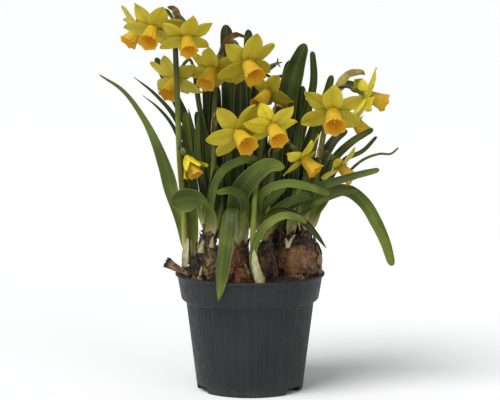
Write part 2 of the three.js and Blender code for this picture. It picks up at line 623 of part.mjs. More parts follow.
// One shoot: a core standing in its bulb's neck, with leaves, flower stems, pedicels and ovaries grown on
function shoot({ name, bulb, leaves, scapes }) {
  const nose = NOSES.find((entry) => entry.name === bulb);
  const { at, foot, top, radius } = nose
    ? { at: nose.at, foot: nose.top - SOCKET_DEPTH + SEAT_GAP, top: nose.top,
      radius: nose.neck - NECK_WALL - CORE_CLEARANCE }
    : { ...FRONT_OFFSET, foot: SOIL_LEVEL - FRONT_OFFSET.depth + SEAT_GAP, top: SOIL_LEVEL + OFFSET_RISE };
  const height = top + CORE_RISE - foot;
  const core = rod(radius, height, CORE_SIDES, radius * CORE_TAPER).translate(...at, foot + height / 2);
  const rooted = (points) => {
    const [[x, y]] = points;
    const out = new THREE.Vector2(x - at[0], y - at[1]).setLength(radius * ROOT_SPREAD);
    return [[at[0] + out.x, at[1] + out.y, top + ROOT_RISE], ...points];
  };
  const straps = leaves.map((leaf) => strap({ ...leaf, points: rooted(leaf.points) }));
  const stems = scapes.map((points) => stalk(rooted(points)));
  const heads = BLOOMS.filter((bloom) => bloom.shoot === name).flatMap(ovaryAndPedicel);
  return named(`shoot_${name}`, geometryOf(fuse([core, ...straps, ...stems, ...heads])), LEAF_FINISH);
}

// Papery spathes: dry sheaths beside the heads of the flower stems, by their points, width and look
const SPATHES = [
  { at: "far_left", width: 6, look: [-0.3, -0.6, 0],
    points: [[-57, 2.6, 287], [-56.6, 3.6, 297], [-59.6, 4.2, 304], [-65.5, 4.2, 306]] },
  { at: "back_left", width: 6, look: [0.3, -0.9, 0],
    points: [[-22, 27.3, 256], [-22.5, 26.8, 268], [-18, 24, 280], [-9, 21, 284], [-2, 18, 281]] },
  { at: "left_behind", width: 4.5, look: [-1, -0.2, 0],
    points: [[-41.5, 33, 248], [-41, 34.5, 260], [-46, 34.5, 269]] },
  { at: "middle_left", width: 4, look: [1, -0.3, 0],
    points: [[-30.3, -16, 206], [-30.5, -15.5, 216], [-26.5, -15, 224]] },
  { at: "front", width: 4.5, look: [-1, -0.4, 0],
    points: [[17.8, -15.5, 211], [18.5, -14, 221], [21, -14, 228], [26, -14, 227]] },
  { at: "right", width: 6.5, look: [-0.6, -0.8, 0],
    points: [[69.5, 7, 229], [71, 9, 239], [76, 10, 248], [85, 10, 253], [92, 9, 252]] },
  { at: "inner_right", width: 4, look: [0, 1, 0],
    points: [[52, -7.1, 181], [55, -6.9, 189], [55, -6.7, 196]] },
  { at: "centre", width: 4, look: [1, -0.3, 0],
    points: [[15.2, -18.5, 184], [15, -18, 193], [18.5, -16.5, 200]] },
];
const PAPER = { thickness: 0.7, edge: 0.65 };

const spathe = ({ at, ...leaf }) => named(`spathe_${at}`, strap({ ...leaf, ...PAPER }), SPATHE_FINISH);

// The pale sheath at the foot of the front offset, standing on the soil before its shoot
function sheath() {
  const points = [[9.4, -51.6, 85], [7, -51.4, 95], [4, -50.8, 105], [2.2, -50.3, 114]];
  return named("sheath_front", strap({ points, width: 9.5, look: [0, 1, 0] }), SHEATH_FINISH);
}

// The dried stub of a cut stem, lying from its bulb over the rim at the left, hollow at its cut end
const STUB_FOOT = [-47.1, -13.5, 92.5];
const STUB_AHEAD = [-0.86, 0.25, 0.45];
const STUB_SIDES = 8;
const STUB_PROFILE = [[0, 0], [2.4, 0], [2.5, 12], [3.2, 18], [4.4, 23.5], [3.6, 24], [1.4, 17], [0, 16]];

function stub() {
  const geometry = turned(STUB_PROFILE, STUB_SIDES);
  const turn = new THREE.Quaternion().setFromUnitVectors(UP, vec(STUB_AHEAD).normalize());
  const mesh = named("stub_left", geometryOf(solid(geometry)), STUB_FINISH);
  mesh.position.set(...STUB_FOOT);
  mesh.quaternion.copy(turn);
  return mesh;
}

const plant = new THREE.Group();
plant.add(pot(), soil(), sheath(), stub(), ...SPATHES.map(spathe));
for (const bulb of BULBS) plant.add(bulbMesh(bulb));
for (const entry of SHOOTS) plant.add(shoot(entry));
BLOOMS.forEach((bloom, i) => {
  plant.add(bloomGroup({ ...bloom, seed: 10 * i + 3 }, String(i + 1).padStart(2, "0")));
});

export default plant;
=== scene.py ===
# %% [markdown]
# # A potted tete-a-tete daffodil
# A clump of dwarf yellow daffodils grows from half-buried bulbs in a 12 cm nursery pot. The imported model
# gives every piece its place as a plain solid. This lesson stands a finer piece in the place of each one, of
# the same form, and gives it the surface of the living plant, the dry bulb skin, the compost or the plastic.

import math

import bmesh
import bpy
import numpy as np
from mathutils import Matrix, Quaternion, Vector, noise


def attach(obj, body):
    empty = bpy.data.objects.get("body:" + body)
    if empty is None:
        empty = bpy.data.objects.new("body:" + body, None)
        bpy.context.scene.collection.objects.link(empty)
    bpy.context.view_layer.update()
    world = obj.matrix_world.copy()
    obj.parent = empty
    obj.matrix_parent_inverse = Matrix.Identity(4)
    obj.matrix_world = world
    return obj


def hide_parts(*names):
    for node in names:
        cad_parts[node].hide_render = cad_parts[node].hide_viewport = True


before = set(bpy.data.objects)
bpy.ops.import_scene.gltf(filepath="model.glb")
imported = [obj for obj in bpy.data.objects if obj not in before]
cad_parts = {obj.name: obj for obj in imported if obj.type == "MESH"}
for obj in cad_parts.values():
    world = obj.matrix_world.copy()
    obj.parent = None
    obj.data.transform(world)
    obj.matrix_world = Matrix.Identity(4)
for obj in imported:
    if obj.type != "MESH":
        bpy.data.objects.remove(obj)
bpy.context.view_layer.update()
MM = 0.001

# %% [markdown]
# ## Camera, floor and light
# The photo is taken from a little above the pot's rim, about a metre and a half away, with a long lens. The
# lens is given by what it showed: 135 mm on a 36 mm sensor makes the plant as large as it is there. A plain
# white floor reaches far behind, so that no horizon shows. A broad soft light from the upper left in front
# and a weak one from the right are enough, with an even pale sky for the shadows.

# %% Camera
scene = bpy.context.scene
CAMERA_AT = Vector((0, -1.49, 0.327))
CAMERA_AIM = Vector((0, 0, 0.152))
lens = bpy.data.cameras.new("viewpoint")
lens.lens = 135
lens.sensor_width = 36
lens.clip_end = 300
viewpoint = bpy.data.objects.new("viewpoint", lens)
viewpoint.location = CAMERA_AT
viewpoint.rotation_euler = (CAMERA_AIM - CAMERA_AT).to_track_quat("-Z", "Y").to_euler()
scene.collection.objects.link(viewpoint)
scene.camera = viewpoint
print("camera", round((CAMERA_AIM - CAMERA_AT).length, 3), "m from its aim")

# %% Floor and light
scene.view_settings.view_transform = "Standard"
ground = bmesh.new()
bmesh.ops.create_circle(ground, cap_ends=True, radius=60, segments=96)
floor_mesh = bpy.data.meshes.new("floor")
ground.to_mesh(floor_mesh)
ground.free()
floor = bpy.data.objects.new("floor", floor_mesh)
floor.location.z = -0.0003
scene.collection.objects.link(floor)
floor_paint = bpy.data.materials.new("floor_white")
floor_paint.use_nodes = True
floor_shader = floor_paint.node_tree.nodes["Principled BSDF"]
floor_shader.inputs["Base Color"].default_value = (0.93, 0.93, 0.93, 1)
floor_shader.inputs["Roughness"].default_value = 0.9
floor_mesh.materials.append(floor_paint)


def sun(name, strength, spread, comes_from):
    """A distant light that shines from a direction, softened by its spread in degrees."""
    light = bpy.data.lights.new(name, "SUN")
    light.energy = strength
    light.angle = math.radians(spread)
    lamp = bpy.data.objects.new(name, light)
    lamp.rotation_euler = Vector(comes_from).to_track_quat("Z", "Y").to_euler()
    scene.collection.objects.link(lamp)


sun("key_light", 2.7, 38, (-0.55, -0.6, 1.15))
sun("fill_light", 0.5, 40, (0.8, -1.0, 0.5))
sky = bpy.data.worlds.new("pale_sky")
sky.use_nodes = True
sky.node_tree.nodes["Background"].inputs["Color"].default_value = (0.97, 0.985, 1.0, 1)
sky.node_tree.nodes["Background"].inputs["Strength"].default_value = 0.36
scene.world = sky

# %% [markdown]
# ## Finishes
# All finishes are mixed from a few shared patterns. Living tissue and dry skins have fibres that run along
# the piece, so one node group stretches a noise along the piece's own UV map. Another makes soft patches
# through the object itself, and a third blends three colours with the way along the piece, which is how a
# shoot turns from cream at its base to green. Each is built once and placed in the materials with its own
# values, and it puts out only a mask or a colour.

# %% Helpers for shader nodes
def colour(red, green, blue):
    """An sRGB colour, 0 to 255, as the linear colour that a shader takes."""
    linear = [v / 255 / 12.92 if v <= 10 else ((v / 255 + 0.055) / 1.055) ** 2.4 for v in (red, green, blue)]
    return (*linear, 1)


def wire(tree, made, sockets):
    """Gives each of a node's sockets its value, or the link that it is wired to."""
    for key, value in sockets.items():
        if isinstance(value, bpy.types.NodeSocket):
            tree.links.new(value, made.inputs[key])
        else:
            made.inputs[key].default_value = value
    return made


def put(tree, kind, sockets=None, **settings):
    """One node, with its settings and what each of its sockets holds or is wired to."""
    made = tree.nodes.new(kind)
    for name, value in settings.items():
        setattr(made, name, value)
    return wire(tree, made, sockets or {})


def mixed(tree, share, first, second):
    """Two colours mixed by a share."""
    return put(tree, "ShaderNodeMix", {0: share, 6: first, 7: second}, data_type="RGBA").outputs[2]


def ranged(tree, value, low, high, start=0.0, end=1.0):
    """A value spread from one range onto another, and held at its ends."""
    sockets = {0: value, 1: low, 2: high, 3: start, 4: end}
    return put(tree, "ShaderNodeMapRange", sockets, interpolation_type="SMOOTHSTEP").outputs[0]


def sums(tree, kind, first, second):
    """Two values put together by one step of arithmetic."""
    return put(tree, "ShaderNodeMath", {0: first, 1: second}, operation=kind).outputs[0]


def marked(tree, name):
    """A value that the piece keeps at each of its points."""
    return put(tree, "ShaderNodeAttribute", attribute_name=name).outputs["Fac"]


def shader_group(name, inputs, outputs):
    """An empty node group with named sockets, and its two end nodes."""
    tree = bpy.data.node_groups.new(name, "ShaderNodeTree")
    for label, kind, value in inputs:
        tree.interface.new_socket(label, in_out="INPUT", socket_type=kind).default_value = value
    for label, kind in outputs:
        tree.interface.new_socket(label, in_out="OUTPUT", socket_type=kind)
    return tree, tree.nodes.new("NodeGroupInput").outputs, tree.nodes.new("NodeGroupOutput").inputs


# %% Fibres, patches and the blend from foot to tip
fibres, given, gives = shader_group(
    "fibres", [("Across", "NodeSocketFloat", 2000), ("Along", "NodeSocketFloat", 40),
               ("Shift", "NodeSocketFloat", 0), ("Contrast", "NodeSocketFloat", 1)],
    [("Mask", "NodeSocketFloat")])
own_map = put(fibres, "ShaderNodeUVMap", uv_map="UVMap").outputs[0]
stretch = put(fibres, "ShaderNodeCombineXYZ", {0: given["Across"], 1: given["Along"]}).outputs[0]
drawn = put(fibres, "ShaderNodeVectorMath", {0: own_map, 1: stretch}, operation="MULTIPLY").outputs[0]
moved = put(fibres, "ShaderNodeVectorMath", {0: drawn, 1: given["Shift"]}, operation="ADD").outputs[0]
lines = put(fibres, "ShaderNodeTexNoise", {"Vector": moved, "Scale": 1, "Detail": 4, "Roughness": 0.6})
spread_out = sums(fibres, "MULTIPLY", sums(fibres, "SUBTRACT", lines.outputs[0], 0.5), given["Contrast"])
fibres.links.new(ranged(fibres, spread_out, -0.22, 0.22), gives["Mask"])

patches, given, gives = shader_group(
    "patches", [("Size", "NodeSocketFloat", 0.01), ("Shift", "NodeSocketFloat", 0)],
    [("Mask", "NodeSocketFloat"), ("Fine", "NodeSocketFloat")])
place = put(patches, "ShaderNodeTexCoord").outputs["Object"]
count = sums(patches, "DIVIDE", 1, given["Size"])
slid = put(patches, "ShaderNodeVectorMath", {0: place, 1: given["Shift"]}, operation="ADD").outputs[0]
cloud = put(patches, "ShaderNodeTexNoise", {"Vector": slid, "Scale": count, "Detail": 2, "Roughness": 0.5})
fine = put(patches, "ShaderNodeTexNoise",
           {"Vector": slid, "Scale": sums(patches, "MULTIPLY", count, 7), "Detail": 3, "Roughness": 0.6})
patches.links.new(ranged(patches, cloud.outputs[0], 0.36, 0.64), gives["Mask"])
patches.links.new(ranged(patches, fine.outputs[0], 0.3, 0.7), gives["Fine"])

from_foot, given, gives = shader_group(
    "from_foot", [("Foot", "NodeSocketColor", (1, 1, 1, 1)), ("Middle", "NodeSocketColor", (1, 1, 1, 1)),
                  ("Top", "NodeSocketColor", (1, 1, 1, 1)), ("Foot ends", "NodeSocketFloat", 0.01),
                  ("Top starts", "NodeSocketFloat", 0.04), ("Jitter", "NodeSocketFloat", 0)],
    [("Color", "NodeSocketColor")])
own_map = put(from_foot, "ShaderNodeUVMap", uv_map="UVMap").outputs[0]
along_map = put(from_foot, "ShaderNodeSeparateXYZ", {0: own_map}).outputs[1]
rise = sums(from_foot, "ADD", along_map, given["Jitter"])
half_way = sums(from_foot, "MULTIPLY", sums(from_foot, "ADD", given["Foot ends"], given["Top starts"]), 0.5)
low_part = mixed(from_foot, ranged(from_foot, rise, given["Foot ends"], half_way),
                 given["Foot"], given["Middle"])
whole = mixed(from_foot, ranged(from_foot, rise, half_way, given["Top starts"]), low_part, given["Top"])
from_foot.links.new(whole, gives["Color"])
print("node groups:", [group.name for group in bpy.data.node_groups])


# %% A material and its groups
def new_finish(name, roughness, shine=0.5, through=0.0):
    """A material with one Principled shader, with the values that are the same all over it."""
    made = bpy.data.materials.new(name)
    made.use_nodes = True
    shader = made.node_tree.nodes["Principled BSDF"]
    shader.inputs["Roughness"].default_value = roughness
    shader.inputs["Specular IOR Level"].default_value = shine
    if through:
        shader.inputs["Subsurface Weight"].default_value = through
        shader.inputs["Subsurface Radius"].default_value = (0.004, 0.003, 0.001)
        shader.inputs["Subsurface Scale"].default_value = 0.5
    return made, made.node_tree, shader


def shared(tree, group, sockets):
    """One of the shared groups, placed in a material."""
    return put(tree, "ShaderNodeGroup", sockets, node_tree=group).outputs


def raise_surface(tree, shader, height, depth):
    """Feeds a height pattern to the shader as a bump of a depth in metres."""
    bump = put(tree, "ShaderNodeBump", {"Strength": 1.0, "Distance": depth, "Height": height})
    tree.links.new(bump.outputs[0], shader.inputs["Normal"])


print("helpers made: new_finish, shared, raise_surface")

# %% [markdown]
# ## Leaves and stems
# A daffodil leaf is thick, satin and dark, with fine parallel veins. It comes out of the bulb almost white
# and greens where the light reaches it. Each leaf keeps its own tone, which is painted light and shade: dark
# at the back and where the leaf lies in shadow, lighter where the light falls on it. A share across it gives
# a painted highlight as a pale rim along the edges, and a lighter stripe along the channel that is partly the
# leaf's own colour and partly a painted highlight. Flower stems are smoother, lighter and faintly ribbed.

# %% Leaf and stem finishes
def leaf_finish():
    """A living leaf, veined and pale at its foot; its edges and, in part, its channel carry a painted
    highlight.
    """
    made, tree, shader = new_finish("leaf_green", 0.38, shine=0.3)
    veins = shared(tree, fibres, {"Across": 2600, "Along": 22, "Contrast": 1.3})["Mask"]
    soft = shared(tree, patches, {"Size": 0.03, "Shift": 3})
    # The tone paints light and shade: low for leaves at the back and parts in shadow, high where the light
    # falls.
    tone = marked(tree, "tone")
    side = sums(tree, "ABSOLUTE", marked(tree, "across"), 0)
    green = mixed(tree, tone, colour(33, 42, 12), colour(128, 144, 46))
    dark = mixed(tree, tone, colour(18, 25, 6), colour(78, 94, 24))
    striped = mixed(tree, ranged(tree, sums(tree, "ADD", veins, soft["Mask"]), 0.2, 1.8), dark, green)
    # The lighter stripe along the channel is partly the leaf's own colour and partly a painted highlight; the
    # pale rim along each edge is a painted highlight.
    pale_channel_and_highlight = mixed(tree, ranged(tree, side, 0.3, 0.0, 0, 0.22), striped, colour(116, 130, 54))
    edge_highlight = mixed(tree, ranged(tree, side, 0.9, 0.99, 0, 0.7), pale_channel_and_highlight, colour(146, 156, 82))
    tipped = mixed(tree, ranged(tree, marked(tree, "along"), 0.975, 1.0, 0, 0.6), edge_highlight, colour(150, 132, 66))
    wander = sums(tree, "MULTIPLY", sums(tree, "SUBTRACT", veins, 0.5), 0.012)
    grown = shared(tree, from_foot, {
        "Foot": colour(190, 180, 120), "Middle": colour(122, 128, 56), "Top": tipped,
        "Foot ends": 0.005, "Top starts": 0.028, "Jitter": wander})["Color"]
    tree.links.new(grown, shader.inputs["Base Color"])
    tree.links.new(ranged(tree, soft["Fine"], 0, 1, 0.32, 0.44), shader.inputs["Roughness"])
    raise_surface(tree, shader, veins, 0.00012)
    return made


def stem_finish(name, low, high, foot_colour, foot_ends, top_starts):
    """A ribbed green stem in two greens, darker along its top."""
    made, tree, shader = new_finish(name, 0.42, shine=0.35)
    ribs = shared(tree, fibres, {"Across": 1500, "Along": 25, "Contrast": 1.2})["Mask"]
    soft = shared(tree, patches, {"Size": 0.02, "Shift": 8})
    freshness_and_light = mixed(tree, sums(tree, "MULTIPLY", ribs, soft["Mask"]), low, high)
    darker_top = mixed(tree, sums(tree, "MULTIPLY", ribs, soft["Mask"]), colour(46, 52, 18), colour(76, 84, 30))
    green = mixed(tree, ranged(tree, marked(tree, "along"), 0.3, 0.85), freshness_and_light, darker_top)
    grown = shared(tree, from_foot, {
        "Foot": foot_colour, "Middle": colour(146, 148, 66), "Top": green, "Foot ends": foot_ends,
        "Top starts": top_starts,
        "Jitter": sums(tree, "MULTIPLY", sums(tree, "SUBTRACT", ribs, 0.5), 0.02)})["Color"]
    tree.links.new(grown, shader.inputs["Base Color"])
    raise_surface(tree, shader, ribs, 0.00015)
    return made


leaf_green = leaf_finish()
stem_green = stem_finish("stem_green", colour(112, 122, 38), colour(142, 150, 54), colour(186, 176, 116),
                         0.008, 0.05)
stalk_green = stem_finish("stalk_green", colour(58, 66, 20), colour(94, 102, 32), colour(90, 98, 34),
                          0.001, 0.004)
print("leaf and stem finishes made")

# %% [markdown]
# ## Petals and trumpets
# Petals are soft and lightly translucent, with very fine lengthwise veins, greener where they join the tube.
# Their edges carry a painted highlight and their midribs painted shade, and each bloom's brightness is
# painted
# light: brighter where it is lit, duller in shade. The trumpet is a deeper orange-yellow, deepest at its
# frilled mouth, and its inside is painted lighter to lift the shade in the cup. Both let a little light
# through, which the shader's subsurface weight gives.

# %% Petal and trumpet finishes
def petal_finish():
    """A veined yellow petal, greener at its root, that lets light through, with painted light: a brightness
    for each bloom, a highlight on its edges and shade along its midrib.
    """
    made, tree, shader = new_finish("petal_yellow", 0.55, shine=0.2, through=0.1)
    veins = shared(tree, fibres, {"Across": 1900, "Along": 60, "Contrast": 1.2})["Mask"]
    soft = shared(tree, patches, {"Size": 0.012, "Shift": 5})
    tone = marked(tree, "tone")
    side = sums(tree, "ABSOLUTE", marked(tree, "across"), 0)
    # The tone paints the light on each bloom: duller yellow in shade, bright lemon where the bloom is lit.
    petal_shade_to_light = mixed(tree, ranged(tree, tone, 0, 1), colour(190, 174, 48), colour(214, 200, 58))
    lit = mixed(tree, ranged(tree, tone, 0.8, 2, 0, 1), petal_shade_to_light, colour(246, 222, 44))
    veined = mixed(tree, ranged(tree, sums(tree, "ADD", veins, soft["Mask"]), 0.1, 1.9, 0.5, 0), lit,
                   colour(176, 158, 26))
    # A painted highlight on the edges and painted shade along the midrib.
    edge_highlight = mixed(tree, ranged(tree, side, 0.8, 1.0, 0, 0.35), veined, colour(232, 218, 84))
    midrib_shade = mixed(tree, ranged(tree, side, 0.4, 0.0, 0, 0.28), edge_highlight, colour(158, 144, 30))
    root = ranged(tree, marked(tree, "along"), 0.25, 0.0, 0, 0.6)
    tree.links.new(mixed(tree, root, midrib_shade, colour(160, 156, 26)), shader.inputs["Base Color"])
    tree.links.new(ranged(tree, soft["Fine"], 0, 1, 0.42, 0.6), shader.inputs["Roughness"])
    raise_surface(tree, shader, veins, 0.00012)
    return made


def trumpet_finish():
    """The orange-yellow of the trumpet, deeper at its mouth, and painted lighter inside the cup, where it
    lies in shade.
    """
    made, tree, shader = new_finish("trumpet_orange", 0.5, shine=0.2, through=0.3)
    veins = shared(tree, fibres, {"Across": 900, "Along": 60, "Contrast": 1.2})["Mask"]
    soft = shared(tree, patches, {"Size": 0.008, "Shift": 1})
    along = marked(tree, "along")
    streaks = ranged(tree, sums(tree, "ADD", veins, soft["Mask"]), 0.1, 1.9)
    outside = mixed(tree, streaks, colour(198, 157, 36), colour(210, 177, 50))
    rim = mixed(tree, ranged(tree, along, 0.3, 0.52, 0, 0.45), outside, colour(214, 150, 24))
    # Painted light: the inside of the cup gets a lighter colour than the outside, to lift the shade that
    # falls in it.
    inside_lightened = mixed(tree, ranged(tree, along, 0.54, 0.75, 0, 0.9), rim, colour(238, 186, 54))
    tree.links.new(inside_lightened, shader.inputs["Base Color"])
    raise_surface(tree, shader, veins, 0.00018)
    return made


def tube_finish():
    """The short tube behind the petals, green at its foot and yellow on top."""
    made, tree, shader = new_finish("tube_yellow", 0.5, shine=0.3)
    soft = shared(tree, patches, {"Size": 0.004})
    green = mixed(tree, soft["Mask"], colour(70, 78, 24), colour(96, 104, 34))
    ripened = mixed(tree, ranged(tree, marked(tree, "along"), 0.35, 0.75), green, colour(196, 176, 34))
    tree.links.new(ripened, shader.inputs["Base Color"])
    return made


def plain_living(name, light, dark, size, rough):
    """A small living part with no fibres of its own: two colours in soft grains."""
    made, tree, shader = new_finish(name, rough)
    soft = shared(tree, patches, {"Size": size, "Shift": 2})
    tree.links.new(mixed(tree, soft["Mask"], dark, light), shader.inputs["Base Color"])
    raise_surface(tree, shader, soft["Fine"], 0.0001)
    return made


petal_yellow = petal_finish()
tube_yellow = tube_finish()
trumpet_orange = trumpet_finish()
anther_gold = plain_living("anther_gold", colour(222, 172, 40), colour(190, 132, 22), 0.001, 0.8)
style_green = plain_living("style_green", colour(222, 190, 70), colour(200, 160, 44), 0.002, 0.6)
print("flower finishes made")

# %% [markdown]
# ## Dry skins
# Bulb tunics, spathes, the pale sheath and the cut stub are all dead or fleshy skins with strong lengthwise
# fibres. One function mixes them from three colours along those fibres, with patches of the darkest one,
# and darkens the top of a bulb, where the tunic frays. The same dark colour paints the shade on the left side
# of the right bulb's mantle, which stands in the shadow of the other bulbs.

# %% Skin finishes
def skin_finish(name, light, middle, dark, frayed_and_shaded, rough=0.7, across=700, along=18, relief=0.0004,
                patch=0.016):
    """A dry skin in three colours along its fibres, and a fourth one where it is frayed, which also paints
    shade.
    """
    made, tree, shader = new_finish(name, rough)
    wide_fibres = {"Across": across * 0.3, "Along": along, "Shift": 4, "Contrast": 1.2}
    broad = shared(tree, fibres, wide_fibres)["Mask"]
    thin = shared(tree, fibres, {"Across": across * 2.2, "Along": along * 2, "Contrast": 1.6})["Mask"]
    soft = shared(tree, patches, {"Size": patch, "Shift": 6})
    tone = marked(tree, "tone")
    bands = shared(tree, fibres, {"Across": across * 0.12, "Along": along * 18, "Shift": 9})["Mask"]
    rings = shared(tree, fibres, {"Across": across * 0.08, "Along": along * 60, "Shift": 2})["Mask"]
    base = mixed(tree, ranged(tree, sums(tree, "ADD", broad, tone), 0.4, 1.6), middle, light)
    lined = mixed(tree, ranged(tree, thin, 0.35, 1, 0, 0.55), base, dark)
    banded = mixed(tree, ranged(tree, bands, 0.6, 1, 0, 0.4), lined, light)
    ringed = mixed(tree, ranged(tree, rings, 0.55, 0.95, 0, 0.45), banded, dark)
    spotted = mixed(tree, ranged(tree, soft["Mask"], 0.4, 0.9, 0, 0.85), ringed, dark)
    flecked = mixed(tree, ranged(tree, soft["Fine"], 0.5, 0.9, 0, 0.55), spotted, light)
    wear_and_shade = mixed(tree, ranged(tree, marked(tree, "wear_and_shade"), 0, 1), flecked, frayed_and_shaded)
    tree.links.new(wear_and_shade, shader.inputs["Base Color"])
    tree.links.new(ranged(tree, thin, 0, 1, rough - 0.12, rough + 0.15), shader.inputs["Roughness"])
    raise_surface(tree, shader, sums(tree, "ADD", thin, soft["Fine"]), relief)
    return made


TUNICS = {
    "plain": skin_finish("tunic_brown", colour(150, 106, 60), colour(84, 54, 29), colour(28, 18, 11),
                         colour(34, 23, 14), 0.46, across=500, relief=0.00025, patch=0.02),
    "orange": skin_finish("tunic_orange", colour(190, 128, 76), colour(136, 84, 48), colour(58, 33, 18),
                          colour(56, 31, 18), 0.45),
    "pale": skin_finish("tunic_pale", colour(204, 168, 120), colour(94, 67, 42), colour(34, 23, 15),
                        colour(34, 23, 15), 0.6),
    "dark": skin_finish("tunic_dark", colour(120, 84, 48), colour(74, 50, 28), colour(30, 21, 12),
                        colour(36, 26, 16), 0.6),
}
spathe_paper = skin_finish("spathe_paper", colour(214, 172, 108), colour(176, 134, 80), colour(118, 84, 48),
                           colour(108, 78, 46), 0.6, across=1800, along=40, relief=0.0002, patch=0.006)
spathe_olive = skin_finish("spathe_olive", colour(182, 164, 72), colour(140, 134, 52), colour(118, 98, 48),
                           colour(140, 112, 58), 0.5, across=1800, along=20, relief=0.00015, patch=0.01)
sheath_cream = skin_finish("sheath_cream", colour(204, 198, 158), colour(180, 174, 128),
                           colour(140, 132, 84), colour(120, 112, 60), 0.4, across=1500, along=15,
                           relief=0.0001, patch=0.02)
stub_fibre = skin_finish("stub_fibre", colour(192, 148, 108), colour(134, 98, 68), colour(60, 40, 26),
                         colour(38, 28, 20), 0.8, across=1600, along=30, relief=0.0004, patch=0.005)
print("skins:", [finish.name for finish in TUNICS.values()], spathe_paper.name, sheath_cream.name)

# %% [markdown]
# ## Compost, roots and plastic
# Compost is nearly black when moist, with lighter crumbs and bits of fibre. The pot is matt moulded plastic
# of a dark green-grey. It shows as plastic through a soft wide gloss, a fine moulded grain and a little dust.

# %% Compost, root and pot finishes
def soil_finish():
    """Moist compost, nearly black, with lighter bits of fibre."""
    made, tree, shader = new_finish("peat_compost", 0.95)
    lumps = shared(tree, patches, {"Size": 0.006, "Shift": 0})
    specks = shared(tree, patches, {"Size": 0.0022, "Shift": 9})
    base = mixed(tree, lumps["Mask"], colour(17, 13, 10), colour(34, 27, 20))
    bits = mixed(tree, ranged(tree, specks["Mask"], 0.85, 1, 0, 0.5), base, colour(84, 66, 46))
    flecked = mixed(tree, ranged(tree, specks["Fine"], 0.8, 1, 0, 0.5), bits, colour(120, 104, 80))
    tree.links.new(flecked, shader.inputs["Base Color"])
    raise_surface(tree, shader, sums(tree, "ADD", lumps["Fine"], specks["Mask"]), 0.0008)
    return made


def pot_finish():
    """Matt moulded plastic with faint upright streaks and dust at its foot."""
    made, tree, shader = new_finish("pot_plastic", 0.5, shine=0.25)
    cloud = shared(tree, patches, {"Size": 0.04, "Shift": 4})
    grain = shared(tree, patches, {"Size": 0.0012, "Shift": 7})
    base = mixed(tree, cloud["Mask"], colour(31, 35, 35), colour(37, 41, 41))
    speckled = mixed(tree, ranged(tree, grain["Mask"], 0.7, 1, 0, 0.1), base, colour(72, 78, 77))
    place = put(tree, "ShaderNodeSeparateXYZ", {0: put(tree, "ShaderNodeTexCoord").outputs["Object"]}).outputs
    height = place[2]
    turn = sums(tree, "MULTIPLY", sums(tree, "ARCTAN2", place[0], sums(tree, "MULTIPLY", place[1], -1)), 15)
    wall = put(tree, "ShaderNodeCombineXYZ", {0: turn, 1: sums(tree, "MULTIPLY", height, 9)}).outputs[0]
    streaks = put(tree, "ShaderNodeTexNoise", {"Vector": wall, "Scale": 1, "Detail": 4, "Roughness": 0.6})
    streak_share = ranged(tree, streaks.outputs[0], 0.42, 0.72, 0, 0.25)
    streaked = mixed(tree, streak_share, speckled, colour(60, 66, 65))
    dusty = sums(tree, "MULTIPLY", ranged(tree, height, 0.012, 0.0, 0, 0.35), cloud["Fine"])
    dusted = mixed(tree, dusty, streaked, colour(84, 80, 72))
    tree.links.new(dusted, shader.inputs["Base Color"])
    tree.links.new(ranged(tree, cloud["Fine"], 0, 1, 0.42, 0.56), shader.inputs["Roughness"])
    raise_surface(tree, shader, grain["Fine"], 0.00006)
    return made


peat_compost = soil_finish()
pot_plastic = pot_finish()
root_white = plain_living("root_white", colour(170, 150, 112), colour(104, 84, 58), 0.004, 0.8)
print("finishes in all:", len(bpy.data.materials))

# %% [markdown]
# ## Lines and frames
# Leaves and stems follow lines through points that were placed from the photo. The line between the
# points is the same smooth one that the solids have, so that a fine piece on its solid's points lies in that
# solid. Along it, the face of a leaf is carried from one place to the next by the smallest turn, which never
# spins it.

# %% Smooth lines
UP = Vector((0, 0, 1))
LINE_STEPS = 14


def scatter(seed):
    """A repeatable scatter between -1 and 1."""
    wave = math.sin(seed * 127.1) * 43758.5453
    return 2 * (wave - math.floor(wave)) - 1


def traced(points):
    """Close places along the smooth line through the points, and how far along each lies."""
    spots = [Vector(point) for point in points]
    spots = [2 * spots[0] - spots[1], *spots, 2 * spots[-1] - spots[-2]]
    places = [spots[1]]
    for before, start, end, after in zip(spots, spots[1:], spots[2:], spots[3:]):
        d0, d1, d2 = ((b - a).length ** 0.5 for a, b in ((before, start), (start, end), (end, after)))
        leave = ((start - before) / d0 - (end - before) / (d0 + d1) + (end - start) / d1) * d1
        arrive = ((end - start) / d1 - (after - start) / (d1 + d2) + (after - end) / d2) * d1
        for step in range(1, LINE_STEPS + 1):
            t = step / LINE_STEPS
            places.append(start + leave * t + (3 * (end - start) - 2 * leave - arrive) * t * t
                          + (2 * (start - end) + leave + arrive) * t ** 3)
    gaps = [(b - a).length for a, b in zip(places, places[1:])]
    return places, np.concatenate([[0], np.cumsum(gaps)])


def stations(points, shares):
    """Where the line is at each share of its length, and the way it runs there, with its whole length."""
    places, lengths = traced(points)
    last = len(places) - 1
    ways = [(places[min(i + 1, last)] - places[max(i - 1, 0)]).normalized() for i in range(last + 1)]
    found = []
    for share in shares:
        reach = share * lengths[-1]
        i = min(max(int(np.searchsorted(lengths, reach, side="right")) - 1, 0), last - 1)
        part = (reach - lengths[i]) / (lengths[i + 1] - lengths[i])
        found.append((places[i].lerp(places[i + 1], part), ways[i].lerp(ways[i + 1], part).normalized()))
    return found, float(lengths[-1])


def squared(way, ahead):
    """A direction with its part along the line taken out."""
    return (way - ahead * way.dot(ahead)).normalized()


# The shares of a leaf's length where its face is carried on
FACE_ROWS = (0, 0.2, 0.44, 0.7, 0.91, 1)


